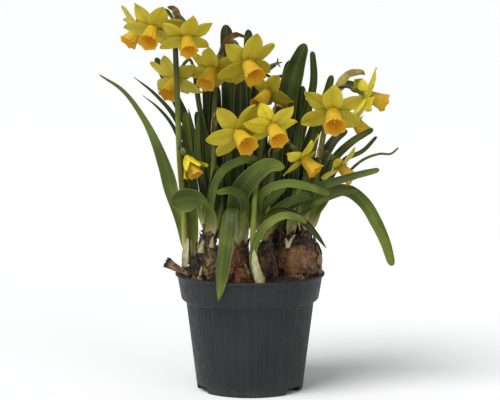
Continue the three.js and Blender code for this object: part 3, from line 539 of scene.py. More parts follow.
def faces_along(points, look, twist, shares, turns=FACE_ROWS):
    """The way a leaf's face looks at each share, carried along its line and turned by its twist."""
    carried, kept, last = Vector(look), [], None
    rows, _ = stations(points, turns)
    for (_, ahead), share in zip(rows, turns):
        if last is not None:
            carried = last.rotation_difference(ahead) @ carried
        carried = squared(carried, ahead)
        last = ahead
        kept.append(Quaternion(ahead, math.radians(twist * share)) @ carried)
    found, _ = stations(points, shares)
    ways = []
    for share, (_, ahead) in zip(shares, found):
        j = max(k for k, row in enumerate(turns[:-1]) if row <= share + 1e-9)
        part = (share - turns[j]) / (turns[j + 1] - turns[j])
        ways.append(squared(kept[j].lerp(kept[j + 1], part), ahead))
    return ways


print("line check:", stations([(0, 0, 0), (0, 0, 10), (5, 0, 20)], [0.5])[0][0])

# %% [markdown]
# ## Rolled skins
# Nearly every living piece here is a closed skin round a line: a leaf is a flat one, a stem a round one, a
# trumpet one that folds back into itself. So one helper takes a bmesh grid, rolls it up by asking where each
# of its points lies, joins the seam and shuts both ends. It also keeps a few values at each point that the
# finishes read: how far along and across it lies, its tone, and how worn it is, which on the right bulb's
# mantle also carries painted shade.

# %% The skin helper
# How close two points lie, in mm, to be joined into one along a seam
SEAM = 0.003


def skin(bm, around, rows, place, finish=0, tone=0.5):
    """A closed skin. place(turn, row) gives a point in mm, its share across, its map in mm and its wear,
    which also carries painted shade.
    """
    values = {name: bm.verts.layers.float.get(name) or bm.verts.layers.float.new(name)
              for name in ("along", "across", "tone", "wear_and_shade")}
    uv = bm.loops.layers.uv.get("UVMap") or bm.loops.layers.uv.new("UVMap")
    made = bmesh.ops.create_grid(bm, x_segments=around, y_segments=rows, size=0.5)["verts"]
    faces = {face for vert in made for face in vert.link_faces}
    maps = {}
    for vert in made:
        row = round((vert.co.y + 0.5) * rows)
        spot, side, own, wear = place(vert.co.x + 0.5, row)
        maps[vert] = (own[0] * MM, own[1] * MM)
        vert[values["along"]] = row / rows
        vert[values["across"]] = side
        vert[values["tone"]] = float(np.interp(row / rows, (0, 1), tone)) if isinstance(tone, tuple) else tone
        vert[values["wear_and_shade"]] = wear
        vert.co = spot
    for face in faces:
        face.material_index = finish
        for loop in face.loops:
            loop[uv].uv = maps[loop.vert]
    bmesh.ops.remove_doubles(bm, verts=made, dist=SEAM)
    kept = [vert for vert in made if vert.is_valid]
    rims = list({edge for vert in kept for edge in vert.link_edges if edge.is_boundary})
    if rims:
        for cap in bmesh.ops.holes_fill(bm, edges=rims, sides=0)["faces"]:
            cap.material_index = finish
    whole = list({face for vert in kept for face in vert.link_faces})
    bmesh.ops.recalc_face_normals(bm, faces=whole)
    return kept


made_pieces = []


def placed(bm, name):
    """A bmesh in mm as an object of the scene, in metres."""
    bmesh.ops.scale(bm, verts=bm.verts, vec=(MM, MM, MM))
    mesh = bpy.data.meshes.new(name)
    bm.to_mesh(mesh)
    bm.free()
    made = bpy.data.objects.new(name, mesh)
    scene.collection.objects.link(made)
    return made


def finished(bm, name, materials, stands_for=()):
    """Turns a bmesh into a finished piece, with its materials and the nodes that it stands for."""
    piece = placed(bm, name)
    mesh = piece.data
    mesh.shade_smooth()
    for material in materials:
        mesh.materials.append(material)
    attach(piece, "root")
    if stands_for:
        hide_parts(*stands_for)
    made_pieces.append(name)
    triangles = sum(len(face.vertices) - 2 for face in mesh.polygons)
    print(f"{name}: {triangles} triangles")
    return piece


print("helpers made: skin, placed, finished")

# %% [markdown]
# ## Blades
# A leaf is a strap with a shallow channel, thickest in the middle, that ends in a blunt rounded tip. The same
# helper makes the spathes and bulb scraps, which are thinner, crumpled and ragged at the tip.

# %% The blade helper
# How deep a leaf's channel is for its width
CHANNEL = 0.24
# The outlines of leaves: the share of its length, and the share of its full width there
STRAP = ((0, 0.5), (0.2, 0.84), (0.44, 1), (0.7, 0.97), (0.91, 0.78), (1, 0.6))
POINTED = ((0, 0.5), (0.2, 0.84), (0.44, 1.05), (0.7, 1.0), (0.86, 0.7), (0.95, 0.36), (1, 0.06))
PADDLE = ((0, 0.5), (0.2, 0.6), (0.36, 0.46), (0.45, 0.3), (0.53, 0.26), (0.61, 0.6), (0.7, 1.08), (0.8, 1.3),
          (0.92, 1.3), (1, 1.15))
FOLDED = ((0, 0.35), (0.15, 0.55), (0.27, 0.92), (0.35, 1.0), (0.5, 1.0), (0.65, 0.93), (0.84, 0.72),
          (0.92, 0.48), (0.97, 0.24), (1, 0.04))
SICKLE = ((0, 0.3), (0.15, 0.45), (0.25, 0.75), (0.34, 1.12), (0.42, 1.2), (0.5, 1.12), (0.6, 0.92),
          (0.7, 0.7), (0.8, 0.56), (0.9, 0.45), (0.96, 0.3), (1, 0.1))
SHEATH = ((0, 0.6), (0.15, 0.9), (0.4, 1), (0.7, 0.85), (0.88, 0.6), (1, 0.25))
LANCE = ((0, 0.5), (0.2, 0.84), (0.44, 1.05), (0.66, 1.05), (0.84, 0.85), (0.94, 0.58), (1, 0.4))
# Each form's outline, and how far its rounded tip reaches, as a share of its width
FORMS = {"strap": (STRAP, 0.5), "pointed": (POINTED, 0), "paddle": (PADDLE, 0.8), "lance": (LANCE, 0.3),
         "folded": (FOLDED, 0), "sickle": (SICKLE, 0), "sheath": (SHEATH, 0.3)}
FINE_TURNS = tuple(i / 24 for i in range(25))


def blade(bm, points, width, look=(0, -1, 0), twist=0, tone=0.5, seed=0.0, finish=0, thick=1.3, rim=0.5,
          crumple=0.0, rows=44, around=18, blunt=0.5, wear_and_shade=0.0, spread=STRAP, turns=FACE_ROWS):
    """A strap along the line through the points, rounded at its tip by blunt and crumpled by noise."""
    shares = [1 - (1 - row / rows) ** 1.5 for row in range(rows + 1)]
    line, length = stations(points, shares)
    faces = faces_along(points, look, twist, shares, turns)
    cap = width * blunt

    def place(turn, row):
        (at, ahead), face, share = line[row], faces[row], shares[row]
        u, side = math.cos(2 * math.pi * turn), math.sin(2 * math.pi * turn)
        tip = max(0.0, (share * length - length + cap) / cap) if cap else 0.0
        half = width / 2 * float(np.interp(share, *zip(*spread))) * math.sqrt(max(0.0, 1 - tip * tip))
        edge = noise.noise(Vector((seed * 3.1, math.copysign(2, u), share * length * 0.06)))
        half *= 1 + 0.05 * edge * abs(u)
        depth = CHANNEL * 2 * half * u * u
        if crumple:
            spot = Vector((u * half * 0.45, share * length * 0.22, seed * 7.3))
            depth += crumple * noise.noise(spot) * 1.6
            half *= 1 + 0.2 * noise.noise(Vector((math.copysign(5, u), share * length * 0.3, seed)))
        body = (rim + (thick - rim) * (1 - u * u) * (1 - 0.45 * share)) / 2
        body *= math.sqrt(max(0.02, 1 - tip ** 4))
        across = ahead.cross(face)
        spot = at + across * (u * half) + face * (depth + side * body)
        return spot, u, (u * width / 2 + seed * 31, share * length), wear_and_shade * share

    return skin(bm, around, rows, place, finish, tone)


print("leaf forms:", list(FORMS))

# %% [markdown]
# ## Stems
# A flower stem is a slightly flattened, faintly ribbed rod. Pedicels, cores and root threads are made the
# same way with other radii.

# %% The stem helper
def stem(bm, points, radius, end_radius=None, finish=0, tone=0.5, rows=26, around=14, ribs=0.03, seed=0.0):
    """A round stem along the line through the points, rounded at its far end."""
    shares = [1 - (1 - row / rows) ** 1.25 for row in range(rows + 1)]
    line, length = stations(points, shares)
    end_radius = radius if end_radius is None else end_radius
    aside = squared(Vector((1, 0.2, 0.1)), line[0][1])
    sides, last = [], line[0][1]
    for _, ahead in line:
        aside = squared(last.rotation_difference(ahead) @ aside, ahead)
        last = ahead
        sides.append(aside)

    def place(turn, row):
        (at, ahead), aside, share = line[row], sides[row], shares[row]
        angle = 2 * math.pi * turn
        left = (1 - share) * length
        reach = radius + (end_radius - radius) * share
        reach *= math.sqrt(max(0.0, 1 - (1 - min(left, reach) / reach) ** 2))
        reach *= 1 + ribs * math.cos(2 * angle) + ribs * 0.6 * math.cos(7 * angle)
        spot = at + (aside * math.cos(angle) + ahead.cross(aside) * math.sin(angle)) * reach
        return spot, math.cos(angle), (turn * 6.28 * radius + seed * 17, share * length), 0.0

    return skin(bm, around, rows, place, finish, tone)


print("helper made: stem")

# %% [markdown]
# ## Turned shapes
# The pot is moulded round an axis, so its outline is spun all the way round it. The spin's last copy merges
# with its first, and the normals are made to point outwards again.

# %% The turning helper
def turned(bm, outline, steps):
    """Spins an outline of (radius, height) points round the upright axis into a closed body."""
    chain = [bm.verts.new((radius, 0, height)) for radius, height in outline]
    edges = [bm.edges.new(pair) for pair in zip(chain, chain[1:])]
    bmesh.ops.spin(bm, geom=chain + edges, cent=(0, 0, 0), axis=(0, 0, 1), angle=2 * math.pi, steps=steps,
                   use_merge=True, use_normal_flip=False, use_duplicate=False)
    bmesh.ops.remove_doubles(bm, verts=bm.verts, dist=0.001)
    bmesh.ops.recalc_face_normals(bm, faces=bm.faces)


def cut(body, cutters):
    """Cuts a finished body with others, which are then taken away."""
    for cutter in cutters:
        carve = body.modifiers.new("carve", "BOOLEAN")
        carve.object, carve.operation, carve.solver = cutter, "DIFFERENCE", "EXACT"
    shown = body.evaluated_get(bpy.context.evaluated_depsgraph_get())
    carved = bpy.data.meshes.new_from_object(shown)
    body.modifiers.clear()
    body.data = carved
    for cutter in cutters:
        bpy.data.objects.remove(cutter)
    print(body.name, "carved:", len(carved.polygons), "faces")


print("helpers made: turned, cut")

# %% [markdown]
# ## The pot
# One thin moulded piece: a tapering wall with fine upright ribs, a tall rim band on a rounded ledge, a small
# bead at its lip, and a foot ring with three shallow notches. Its outline is spun, then the points of the
# wall are drawn in between the ribs, which fade towards the foot, and the notches are lifted into the ring.

# %% Pot
# All lengths are in mm, and the notches are given by their turn in degrees and their width
POT_STEPS = 432
POT_RIBS = 72
RIB_DEPTH = 0.35
RIBS_FROM, RIBS_TO = 6, 70.6
WALL_TOP, WALL_TOP_RADIUS = 71, 51.4
FOOT_RADIUS = 42.5
NOTCHES = ((-68, 22), (55, 19), (174, 16))
NOTCH_HEIGHT = 4.6
RING_INSIDE = 39
wall = [(FOOT_RADIUS + (WALL_TOP_RADIUS - FOOT_RADIUS) * z / WALL_TOP, z)
        for z in (7, 9, 12, 16, 22, 30, 40, 50, 58, 64, 68, 70.2)]
POT_OUTLINE = [
    (0, 3.6), (30, 3.6), (39.5, 3.6), (39.9, 3.2), (39.9, 0.3), (40.2, 0), (41.9, 0), (42.4, 0.35),
    (42.9, 3.2), (43.05, 4.2), (42.95, 4.5), (42.95, 5.0), (43.2, 5.4), *wall, (51.75, 71.1), (52.9, 71.7),
    (54.1, 72.4), (54.9, 73.3), (55.3, 74.4), (56.3, 80), (57.2, 85.4), (58.15, 90.9), (58.55, 91.6),
    (59.6, 92.0), (60, 92.6), (59.95, 93.3), (59.5, 93.85), (58.7, 94), (57.3, 94), (56.9, 93.7), (56.5, 91),
    (53.9, 74), (53.4, 73), (50.1, 71.2), (50, 70.5), (41.3, 6), (40.8, 5.2), (40, 5), (20, 5), (0, 5)]
DRAIN_COUNT, DRAIN_RING, DRAIN_RADIUS = 5, 24, 4

pot_shape = bmesh.new()
turned(pot_shape, POT_OUTLINE, POT_STEPS)
for vert in pot_shape.verts:
    radius = math.hypot(vert.co.x, vert.co.y)
    turn = math.atan2(vert.co.x, -vert.co.y)
    if RIBS_FROM < vert.co.z < RIBS_TO and radius > FOOT_RADIUS + 0.118 * vert.co.z:
        groove = (0.5 - 0.5 * math.cos(POT_RIBS * turn)) ** 1.5
        fade = min(1, (vert.co.z - RIBS_FROM) / 50) * min(1, (RIBS_TO - vert.co.z) / 3)
        shrink = 1 - RIB_DEPTH * groove * fade / radius
        vert.co.x, vert.co.y = vert.co.x * shrink, vert.co.y * shrink
    for angle, width in NOTCHES:
        off = abs((turn - math.radians(angle) + math.pi) % (2 * math.pi) - math.pi)
        if off * FOOT_RADIUS < width / 2 and vert.co.z < 3.5 and radius > RING_INSIDE:
            vert.co.z = max(vert.co.z, NOTCH_HEIGHT - 0.02 * (radius - RING_INSIDE))
pot_moulding = finished(pot_shape, "pot_moulding", [pot_plastic], ["pot"])


def cutting_rod(x, y, radius, low, high):
    """A plain rod that cuts a hole and is then taken away."""
    rod = bmesh.new()
    turned(rod, [(0, low), (radius, low), (radius, high), (0, high)], 32)
    bmesh.ops.translate(rod, verts=rod.verts, vec=(x, y, 0))
    return placed(rod, "cutting_rod")


drain_turns = [2 * math.pi * i / DRAIN_COUNT for i in range(DRAIN_COUNT)]
cut(pot_moulding, [cutting_rod(DRAIN_RING * math.cos(turn), DRAIN_RING * math.sin(turn), DRAIN_RADIUS, 0, 9)
                   for turn in drain_turns])

# %% [markdown]
# ## Bulbs
# A daffodil bulb is a pear shape in several papery tunics, wrinkled lengthwise, that fray into dark scraps
# round its neck. Each bulb here is a rolled skin on the outline of its solid, with lumps and wrinkles moved
# into it by noise, and loose flakes and neck scraps laid over it as thin blades.

# %% Bulb places and outline
NOSE_KEYS = ("name", "at", "radius", "bottom", "top", "neck", "skin")
BULBS = [dict(zip(NOSE_KEYS, row)) for row in (
    ("bulb_far_left", (-45.5, 4), 7, 70, 98, 4.2, "dark"),
    ("bulb_middle_left", (-34, -15), 12.2, 76, 123, 6, "pale"),
    ("bulb_front", (-7, -32), 12.4, 74, 118, 5, "orange"),
    ("bulb_centre", (12, -16), 10.5, 76, 120, 5, "plain"),
    ("bulb_right", (44, -9), 12.6, 84, 127, 5, "plain"),
    ("bulb_back_left", (-18, 28), 12, 72, 118, 5.6, "dark"),
    ("bulb_back_right", (16, 30), 12, 72, 118, 5.6, "dark"))]
TWIN = BULBS[4]
TWIN["second"] = dict(zip(NOSE_KEYS, ("second_nose", (31.5, -6), 11, 80, 123, 4.6)))
NOSES = [nose for bulb in BULBS for nose in (bulb, bulb.get("second")) if nose]
SOCKET_DEPTH, NECK_WALL = 5, 1.2
BODY_ROWS, FLAKE_ROWS, MANTLE_ROWS = 44, 22, 50


def bulb_radius(nose, share):
    """How wide a bulb is at a share of its height."""
    neck = nose["neck"] / nose["radius"]
    flare = (nose["neck"] + 0.8) / nose["radius"]
    rows = ((0, 0), (0.02, 0.42), (0.06, 0.7), (0.13, 0.87), (0.22, 0.96), (0.34, 1), (0.45, 1), (0.54, 0.98),
            (0.63, 0.93), (0.72, 0.82), (0.79, 0.68), (0.86, flare + 0.03), (0.93, (neck + flare) / 2),
            (1, neck))
    return nose["radius"] * float(np.interp(share, *zip(*rows)))


def bulb_body(bm, nose, seed, grow=0.0):
    """A bulb's wrinkled body with the socket of its neck, or a plain one that is grown to cut its place."""
    height = nose["top"] - nose["bottom"]
    foot = nose["bottom"] - grow
    socket, socket_floor = nose["neck"] - NECK_WALL, nose["top"] - SOCKET_DEPTH
    shares = [row / BODY_ROWS for row in range(BODY_ROWS + 1)]
    outline = [(bulb_radius(nose, share) + grow * (share > 0), foot + (height + grow) * share)
               for share in shares]
    if grow:
        outline.append((0, nose["top"]))
    else:
        outline += [(socket, nose["top"]), (socket, socket_floor), (0, socket_floor)]
    around = 24 if grow else 84

    def place(turn, row):
        radius, z = outline[row]
        angle = 2 * math.pi * turn
        way = Vector((math.cos(angle), math.sin(angle), 0))
        share = (z - nose["bottom"]) / height
        if not grow and row <= BODY_ROWS:
            long_wrinkle = noise.noise(Vector((way.x * 5.5, way.y * 5.5, z * 0.05 + seed)))
            fine_wrinkle = noise.noise(Vector((way.x * 15, way.y * 15, z * 0.08 + seed)))
            lump = noise.noise(Vector((way.x * 1.6, way.y * 1.6, z * 0.09 + seed * 3)))
            fold = noise.noise(Vector((way.x * 1.2, way.y * 1.2, z * 0.5 + seed)))
            rise = 0.55 * long_wrinkle + 0.22 * fine_wrinkle + 0.8 * lump - 0.15 + 0.22 * fold
            radius += rise * min(1, radius / 4) * (1 - 0.5 * (share > 0.93))
        dark = min(1, max(0, (share - 0.8) / 0.2)) * 0.8 if not grow else 0
        return (Vector((*nose["at"], z)) + way * radius, math.sin(3 * angle),
                (turn * 6.28 * nose["radius"] + seed * 40, z), dark)

    return skin(bm, around, len(outline) - 1, place, 0, 0.5 + 0.4 * scatter(seed))


def bulb_flake(bm, nose, seed, turn, span, low, high, lift, tone, dark=0.0):
    """A loose flake of tunic that follows the bulb and curls off it at its edges."""
    height = nose["top"] - nose["bottom"]

    def place(round_it, row):
        u, side = math.cos(2 * math.pi * round_it), math.sin(2 * math.pi * round_it)
        share = row / FLAKE_ROWS
        ragged = noise.noise(Vector((u * 2.2, seed, 4))) * 0.14 * share
        at = low + (high - low) * (share + ragged)
        z = nose["bottom"] + height * at
        edge = noise.noise(Vector((math.copysign(3, u), share * 5, seed)))
        wide = math.sqrt(max(0.0, 1 - (2 * share - 1) ** 4)) * (0.85 + 0.8 * edge)
        angle = turn + span * 0.5 * u * wide
        curl = 0.9 * abs(u) ** 3 + 0.8 * share ** 4
        reach = bulb_radius(nose, at) + lift + curl * lift
        reach += 0.35 * noise.noise(Vector((u * 2, share * 3, seed)))
        reach += side * 0.14
        way = Vector((math.sin(angle), -math.cos(angle), 0))
        return (Vector((*nose["at"], z)) + way * reach, u, (u * 9 + seed * 23, z),
                min(1, dark + 0.6 * max(0, share - 0.75) * 4))

    skin(bm, 26, FLAKE_ROWS, place, 0, tone)


def neck_scales(bm, nose, seed, count):
    """Dry scales that lie on a bulb's shoulder and end ragged round its neck."""
    height = nose["top"] - nose["bottom"]
    for i in range(count):
        turn = 2 * math.pi * (i + 0.4 * scatter(seed + i)) / count
        way = Vector((math.sin(turn), -math.cos(turn), 0))
        low = 0.56 + 0.09 * scatter(seed + i + 9)
        end = (0.96 + 0.07 * scatter(seed + i + 20), 0.8 + 0.8 * scatter(seed + i + 30))
        rows = ((low, 0.1), (low + 0.14, 0.4), (0.84, 0.5), end)
        points = [Vector((*nose["at"], nose["bottom"] + height * share))
                  + way * (bulb_radius(nose, min(share, 1)) + lift) for share, lift in rows]
        blade(bm, points, nose["radius"] * (0.7 + 0.25 * scatter(seed + i + 40)), look=tuple(-way),
              tone=0.5 + 0.5 * scatter(seed + i + 50), seed=seed + i, thick=0.4, rim=0.2, crumple=0.5,
              rows=18, around=12, blunt=0.2, wear_and_shade=0.45,
              spread=((0, 0.5), (0.3, 1), (0.6, 0.75), (0.85, 0.45), (1, 0.2)))


MANTLE_FOOT, MANTLE_HEIGHT = 84, 36.5
MANTLE_AT, MANTLE_HALF = (41, -9.2), (15.6, 12.7)


def mantle(bm, seed):
    """The wide common tunic that holds the two noses of the right bulb together."""
    rows = ((0, 0), (0.03, 0.4), (0.08, 0.68), (0.16, 0.87), (0.26, 0.96), (0.38, 1), (0.5, 1), (0.6, 0.98),
            (0.7, 0.95), (0.79, 0.9), (0.86, 0.82), (0.92, 0.7), (0.96, 0.54), (0.99, 0.28), (1, 0))

    def place(turn, row):
        share = row / MANTLE_ROWS
        angle = 2 * math.pi * turn
        way = Vector((math.cos(angle), math.sin(angle), 0))
        z = MANTLE_FOOT + MANTLE_HEIGHT * math.sin(share * math.pi / 2) ** 1.1
        wide = float(np.interp((z - MANTLE_FOOT) / MANTLE_HEIGHT, *zip(*rows)))
        fine_wrinkle = noise.noise(Vector((way.x * 13, way.y * 13, z * 0.06 + seed)))
        long_wrinkle = noise.noise(Vector((way.x * 4.5, way.y * 4.5, z * 0.04 + seed)))
        lump = noise.noise(Vector((way.x * 1.5, way.y * 1.5, z * 0.07 + seed * 3)))
        ring = noise.noise(Vector((way.x * 0.8, way.y * 0.8, z * 0.42 + seed)))
        rise = (0.25 * fine_wrinkle + 0.6 * long_wrinkle + 0.9 * lump + 0.55 * ring) * min(1, wide * 2)
        spot = Vector((MANTLE_AT[0] + way.x * (MANTLE_HALF[0] * wide + rise),
                       MANTLE_AT[1] + way.y * (MANTLE_HALF[1] * wide + rise), z))
        # Painted shade: the tunic darkens on its left side, in the shadow of the other bulbs; its top darkens
        # where it frays.
        shade = max(0, (share - 0.68) * 1.9) + 0.75 * max(0, -way.x - 0.05) * (0.6 + lump)
        return spot, math.sin(3 * angle), (turn * 88 + seed * 40, z), min(1, max(0, shade))

    skin(bm, 96, MANTLE_ROWS, place, 0, 0.75)


def ragged_rim(bm, centre, radius, z, count, seed):
    """Short dark scraps of torn tunic that stand in a ring."""
    for i in range(count):
        turn = 2 * math.pi * (i + 0.5 * scatter(seed + i)) / count
        way = Vector((math.sin(turn), -math.cos(turn), 0))
        reach = radius * (1 + 0.16 * scatter(seed + i + 11))
        foot = Vector((*centre, z - 5 + 1.5 * scatter(seed + i + 5))) + way * reach
        tall = 7 + 3.5 * scatter(seed + i + 21)
        lean = 0.8 + 1.2 * scatter(seed + i + 31)
        points = [foot, foot + UP * tall * 0.55 - way * 0.4, foot + UP * tall + way * lean]
        blade(bm, points, 5.6 + 1.8 * scatter(seed + i + 41), look=tuple(-way),
              tone=0.4 + 0.4 * scatter(seed + i + 51), seed=seed + i, thick=0.4, rim=0.2, crumple=0.9,
              rows=14, around=10, blunt=0.1, wear_and_shade=1.0, spread=((0, 0.9), (0.4, 1), (0.75, 0.6), (1, 0.2)))


def bud(bm, at, ahead, length, radius, finish):
    """A pale side bud or scale, thick at its foot and narrow at its tip."""
    foot = Vector(at)
    way = Vector(ahead).normalized()
    bend = way.cross(UP).cross(way) * length * 0.12
    line = [foot, foot + way * length * 0.5 + bend, foot + way * length]
    stem(bm, line, radius, radius * 0.3, finish=finish, rows=14, around=12)


print("bulbs to make:", [bulb["name"] for bulb in BULBS])

# %% Bulbs
# Large loose flakes of each nose: turn, span, lowest and highest share of its height, lift and tone
FLAKES = {
    "bulb_middle_left": [(-0.5, 1.5, 0.3, 0.76, 0.55, 0.7), (0.75, 1.2, 0.25, 0.84, 0.8, 0.2),
                         (-1.5, 1.1, 0.35, 0.86, 0.6, 0.9), (2.3, 1.6, 0.3, 0.8, 0.6, 0.4)],
    "bulb_front": [(0.3, 1.6, 0.3, 0.72, 0.5, 0.8), (-0.9, 1.1, 0.32, 0.9, 0.6, 0.5),
                   (2.4, 1.7, 0.3, 0.8, 0.6, 0.5)],
    "bulb_centre": [(0.2, 1.3, 0.35, 0.88, 0.7, 0.6), (-1.1, 1.2, 0.4, 0.9, 0.6, 0.2)],
    "bulb_right": [(1.25, 1.0, 0.2, 0.8, 0.7, 0.9), (2.6, 1.6, 0.3, 0.8, 0.6, 0.5)],
    "second_nose": [(-0.9, 1.0, 0.35, 0.8, 0.6, 0.15)],
}
# Pale side buds and scales: foot, direction, length and radius
BUDS = {
    "bulb_middle_left": [((-38.5, -23, 113), (0.2, -0.15, 1), 10, 3.0),
                         ((-30.5, -22.5, 117), (0.15, -0.1, 1), 9, 2.2),
                         ((-40, -26, 91), (0.2, -0.2, 1), 12, 2.0)],
    "bulb_front": [((-1.5, -42, 99), (-0.4, -0.2, 1), 9, 1.9)],
    "bulb_right": [((30, -17.5, 116), (0.55, -0.05, 1), 12, 1.7),
                   ((30, -17.5, 116), (-0.25, -0.1, 1), 8, 1.8)],
}
# How many small torn flakes each bulb has besides
SHAGGY = {"bulb_middle_left": 30, "bulb_front": 16, "bulb_centre": 14, "bulb_far_left": 10}
FEW_FLAKES, SCALE_COUNT = 5, 9
# Painted shade: a dark skin set in the shadow between the necks, for two bulbs: its foot, middle, tip and
# width
SHADE_SKINS = {
    "bulb_back_right": ((22, 19, 100), (22.5, 19, 115), (23, 18, 131), 10),
    "bulb_right": ((37, 1, 108), (37.5, 2, 121), (38, 2, 137), 9)}
# The pale torn sheath at the foot of the tall flower stem
FOOT_SHEATH = [(-52, -4, 98), (-51.5, -4.5, 109), (-49.8, -4, 122)]
# Rings of torn tunic on the mantle of the right bulb: centre, radius, height, number of scraps and seed
MANTLE_RIMS = (((43.5, -9.5), 7.5, 121, 14, 60), ((31, -7.5), 6.5, 118, 9, 90),
               ((44.5, -9.3), 5.2, 129, 11, 30), ((32, -7), 7.5, 124, 14, 71), ((37.5, -8.5), 7, 122, 10, 75))
# Rings of torn tunic round a neck: centre, radius, height and number of scraps. The dark rings of the two
# back bulbs are partly painted shade, filling the shadow among the necks there.
TORN_NECKS = {
    "bulb_middle_left": [((-33.5, -15), 6.6, 124, 13), ((-32, -15.5), 5.6, 131, 10)],
    "bulb_front": [((-6.5, -32.5), 5.2, 121, 10)],
    "bulb_centre": [((12, -16), 5.2, 122, 9)],
    "bulb_back_left": [((-18, 28), 7.6, 122, 14), ((-18, 27), 6.6, 128, 12)],
    "bulb_back_right": [((17, 29), 8, 122, 14), ((18, 28), 7, 128, 12)],
}
for number, bulb in enumerate(BULBS):
    shape = bmesh.new()
    for nose in (bulb, bulb["second"]) if bulb is TWIN else (bulb,):
        seed = number * 5 + (nose is not bulb) * 2 + 1
        bulb_body(shape, nose, seed)
        for i, (turn, span, low, high, lift, tone) in enumerate(FLAKES.get(nose["name"], ())):
            bulb_flake(shape, nose, seed + i * 1.7, turn, span, low, high, lift, tone)
        neck_scales(shape, nose, seed * 3, SCALE_COUNT)
        for i in range(SHAGGY.get(nose["name"], FEW_FLAKES)):
            k = seed * 31 + i
            low = 0.2 + 0.22 * (1 + scatter(k))
            high = min(0.9, low + 0.3 + 0.1 * scatter(k + 12))
            lift, tone = 0.7 + 0.6 * (1 + scatter(k + 15)) / 2, 0.5 + 0.7 * scatter(k + 18)
            bulb_flake(shape, nose, k + 0.5, math.pi * scatter(k + 0.3), 0.42 + 0.2 * scatter(k + 9), low,
                       high, lift, tone, 0.75 if scatter(k + 21) > 0.1 else 0)
    if bulb is TWIN:
        mantle(shape, 4)
        for rim in MANTLE_RIMS:
            ragged_rim(shape, *rim)
    if bulb["name"] == "bulb_far_left":
        blade(shape, FOOT_SHEATH, 6, look=(-0.2, -1, 0), tone=0.9, seed=8, finish=1, thick=0.5, rim=0.25,
              crumple=0.7, rows=20, around=12, blunt=0.2, spread=((0, 0.8), (0.4, 1), (0.8, 0.6), (1, 0.2)))
    # A dark skin placed in the shadow between the necks, as painted shade
    if bulb["name"] in SHADE_SKINS:
        foot, middle, tip, wide = SHADE_SKINS[bulb["name"]]
        blade(shape, [foot, middle, tip], wide, tone=0.2, seed=foot[0], thick=0.5, rim=0.25, crumple=0.8,
              rows=20, around=12, blunt=0.6, spread=((0, 1), (0.8, 0.9), (1, 0.5)))
    for spot, radius, z, count in TORN_NECKS.get(bulb["name"], ()):
        ragged_rim(shape, spot, radius, z, count, 40 + number)
    for spot, ahead, long, wide in BUDS.get(bulb["name"], ()):
        bud(shape, spot, ahead, long, wide, 1)
    skins = [TUNICS[bulb["skin"]], sheath_cream]
    finished(shape, "tunic_of_" + bulb["name"], skins, [bulb["name"]])

# %% [markdown]
# ## Compost
# The compost is one body that fills the pot to just below its lip, heaped a little at the left. Its top is
# made lively by noise, the bulbs' places are cut out of it, and loose crumbs and root threads lie on it.

# %% Soil body
SOIL_LEVEL, SOIL_EDGE = 86, 84
# Where the front offset's flower stem and its pale sheath stand in the compost
FRONT_STEM, FRONT_SHEATH = (8.5, -46), (8, -51.6)


def inner_radius(z):
    """How far from the pot's axis its inside is at a height."""
    low_z, low_r, high_z, high_r = (5, 42.5, 71, 51.4) if z < 71 else (74, 55.3, 94, 58.3)
    return low_r + (high_r - low_r) * (z - low_z) / (high_z - low_z) - 1.4


def soil_top(x, y):
    """The height of the compost at a place in the pot."""
    heap = 5 * math.exp(-((x + 48) ** 2 + (y + 6) ** 2) / 250)
    heap += 8 * math.exp(-((x - 26) / 36) ** 2 - ((y + 29) / 13) ** 2)
    heap += 7 * math.exp(-((x + 42) / 16) ** 2 - ((y + 27) / 11) ** 2)
    near_wall = min(1, max(0, (55 - math.hypot(x, y)) / 9))
    return SOIL_LEVEL + heap * near_wall + math.sin(x * 0.31) * math.cos(y * 0.27) * 0.9


def away(x, y, spot):
    """How far a place lies from a spot, seen from above."""
    return math.hypot(x - spot[0], y - spot[1])


RIM_RADIUS = inner_radius(SOIL_EDGE) - 0.5
top_rings = [(RIM_RADIUS * share, None) for share in np.linspace(0, 0.96, 44)]
sides = [(inner_radius(z) - 0.5, z) for z in (SOIL_EDGE, 74, 70.9, 5.3)]
soil_outline = [*top_rings, *sides, (0, sides[-1][1])]


def soil_place(turn, row):
    """A point of the compost's skin, rough on top and plain against the pot."""
    radius, z = soil_outline[row]
    x, y = radius * math.cos(2 * math.pi * turn), radius * math.sin(2 * math.pi * turn)
    if z is None:
        rough = 0.9 * noise.noise(Vector((x * 0.4, y * 0.4, 1))) + 0.5 * noise.noise(Vector((x, y, 5)))
        z = soil_top(x, y) + rough * min(1, (RIM_RADIUS - radius) / 4) - 0.3
    return Vector((x, y, z)), 0, (x, y), 0


soil_shape = bmesh.new()
skin(soil_shape, 150, len(soil_outline) - 1, soil_place)
soil_body = finished(soil_shape, "compost_body", [peat_compost], ["soil"])
cutters = []
for i, nose in enumerate(NOSES):
    hollow = bmesh.new()
    bulb_body(hollow, nose, i, grow=1.2)
    cutters.append(placed(hollow, "cutting_bulb"))
cutters.append(cutting_rod(*FRONT_STEM, 4.7, 76, 100))
cut(soil_body, cutters)

# %% Crumbs on the compost
CRUMB_COUNT, ROOT_COUNT = 1700, 16
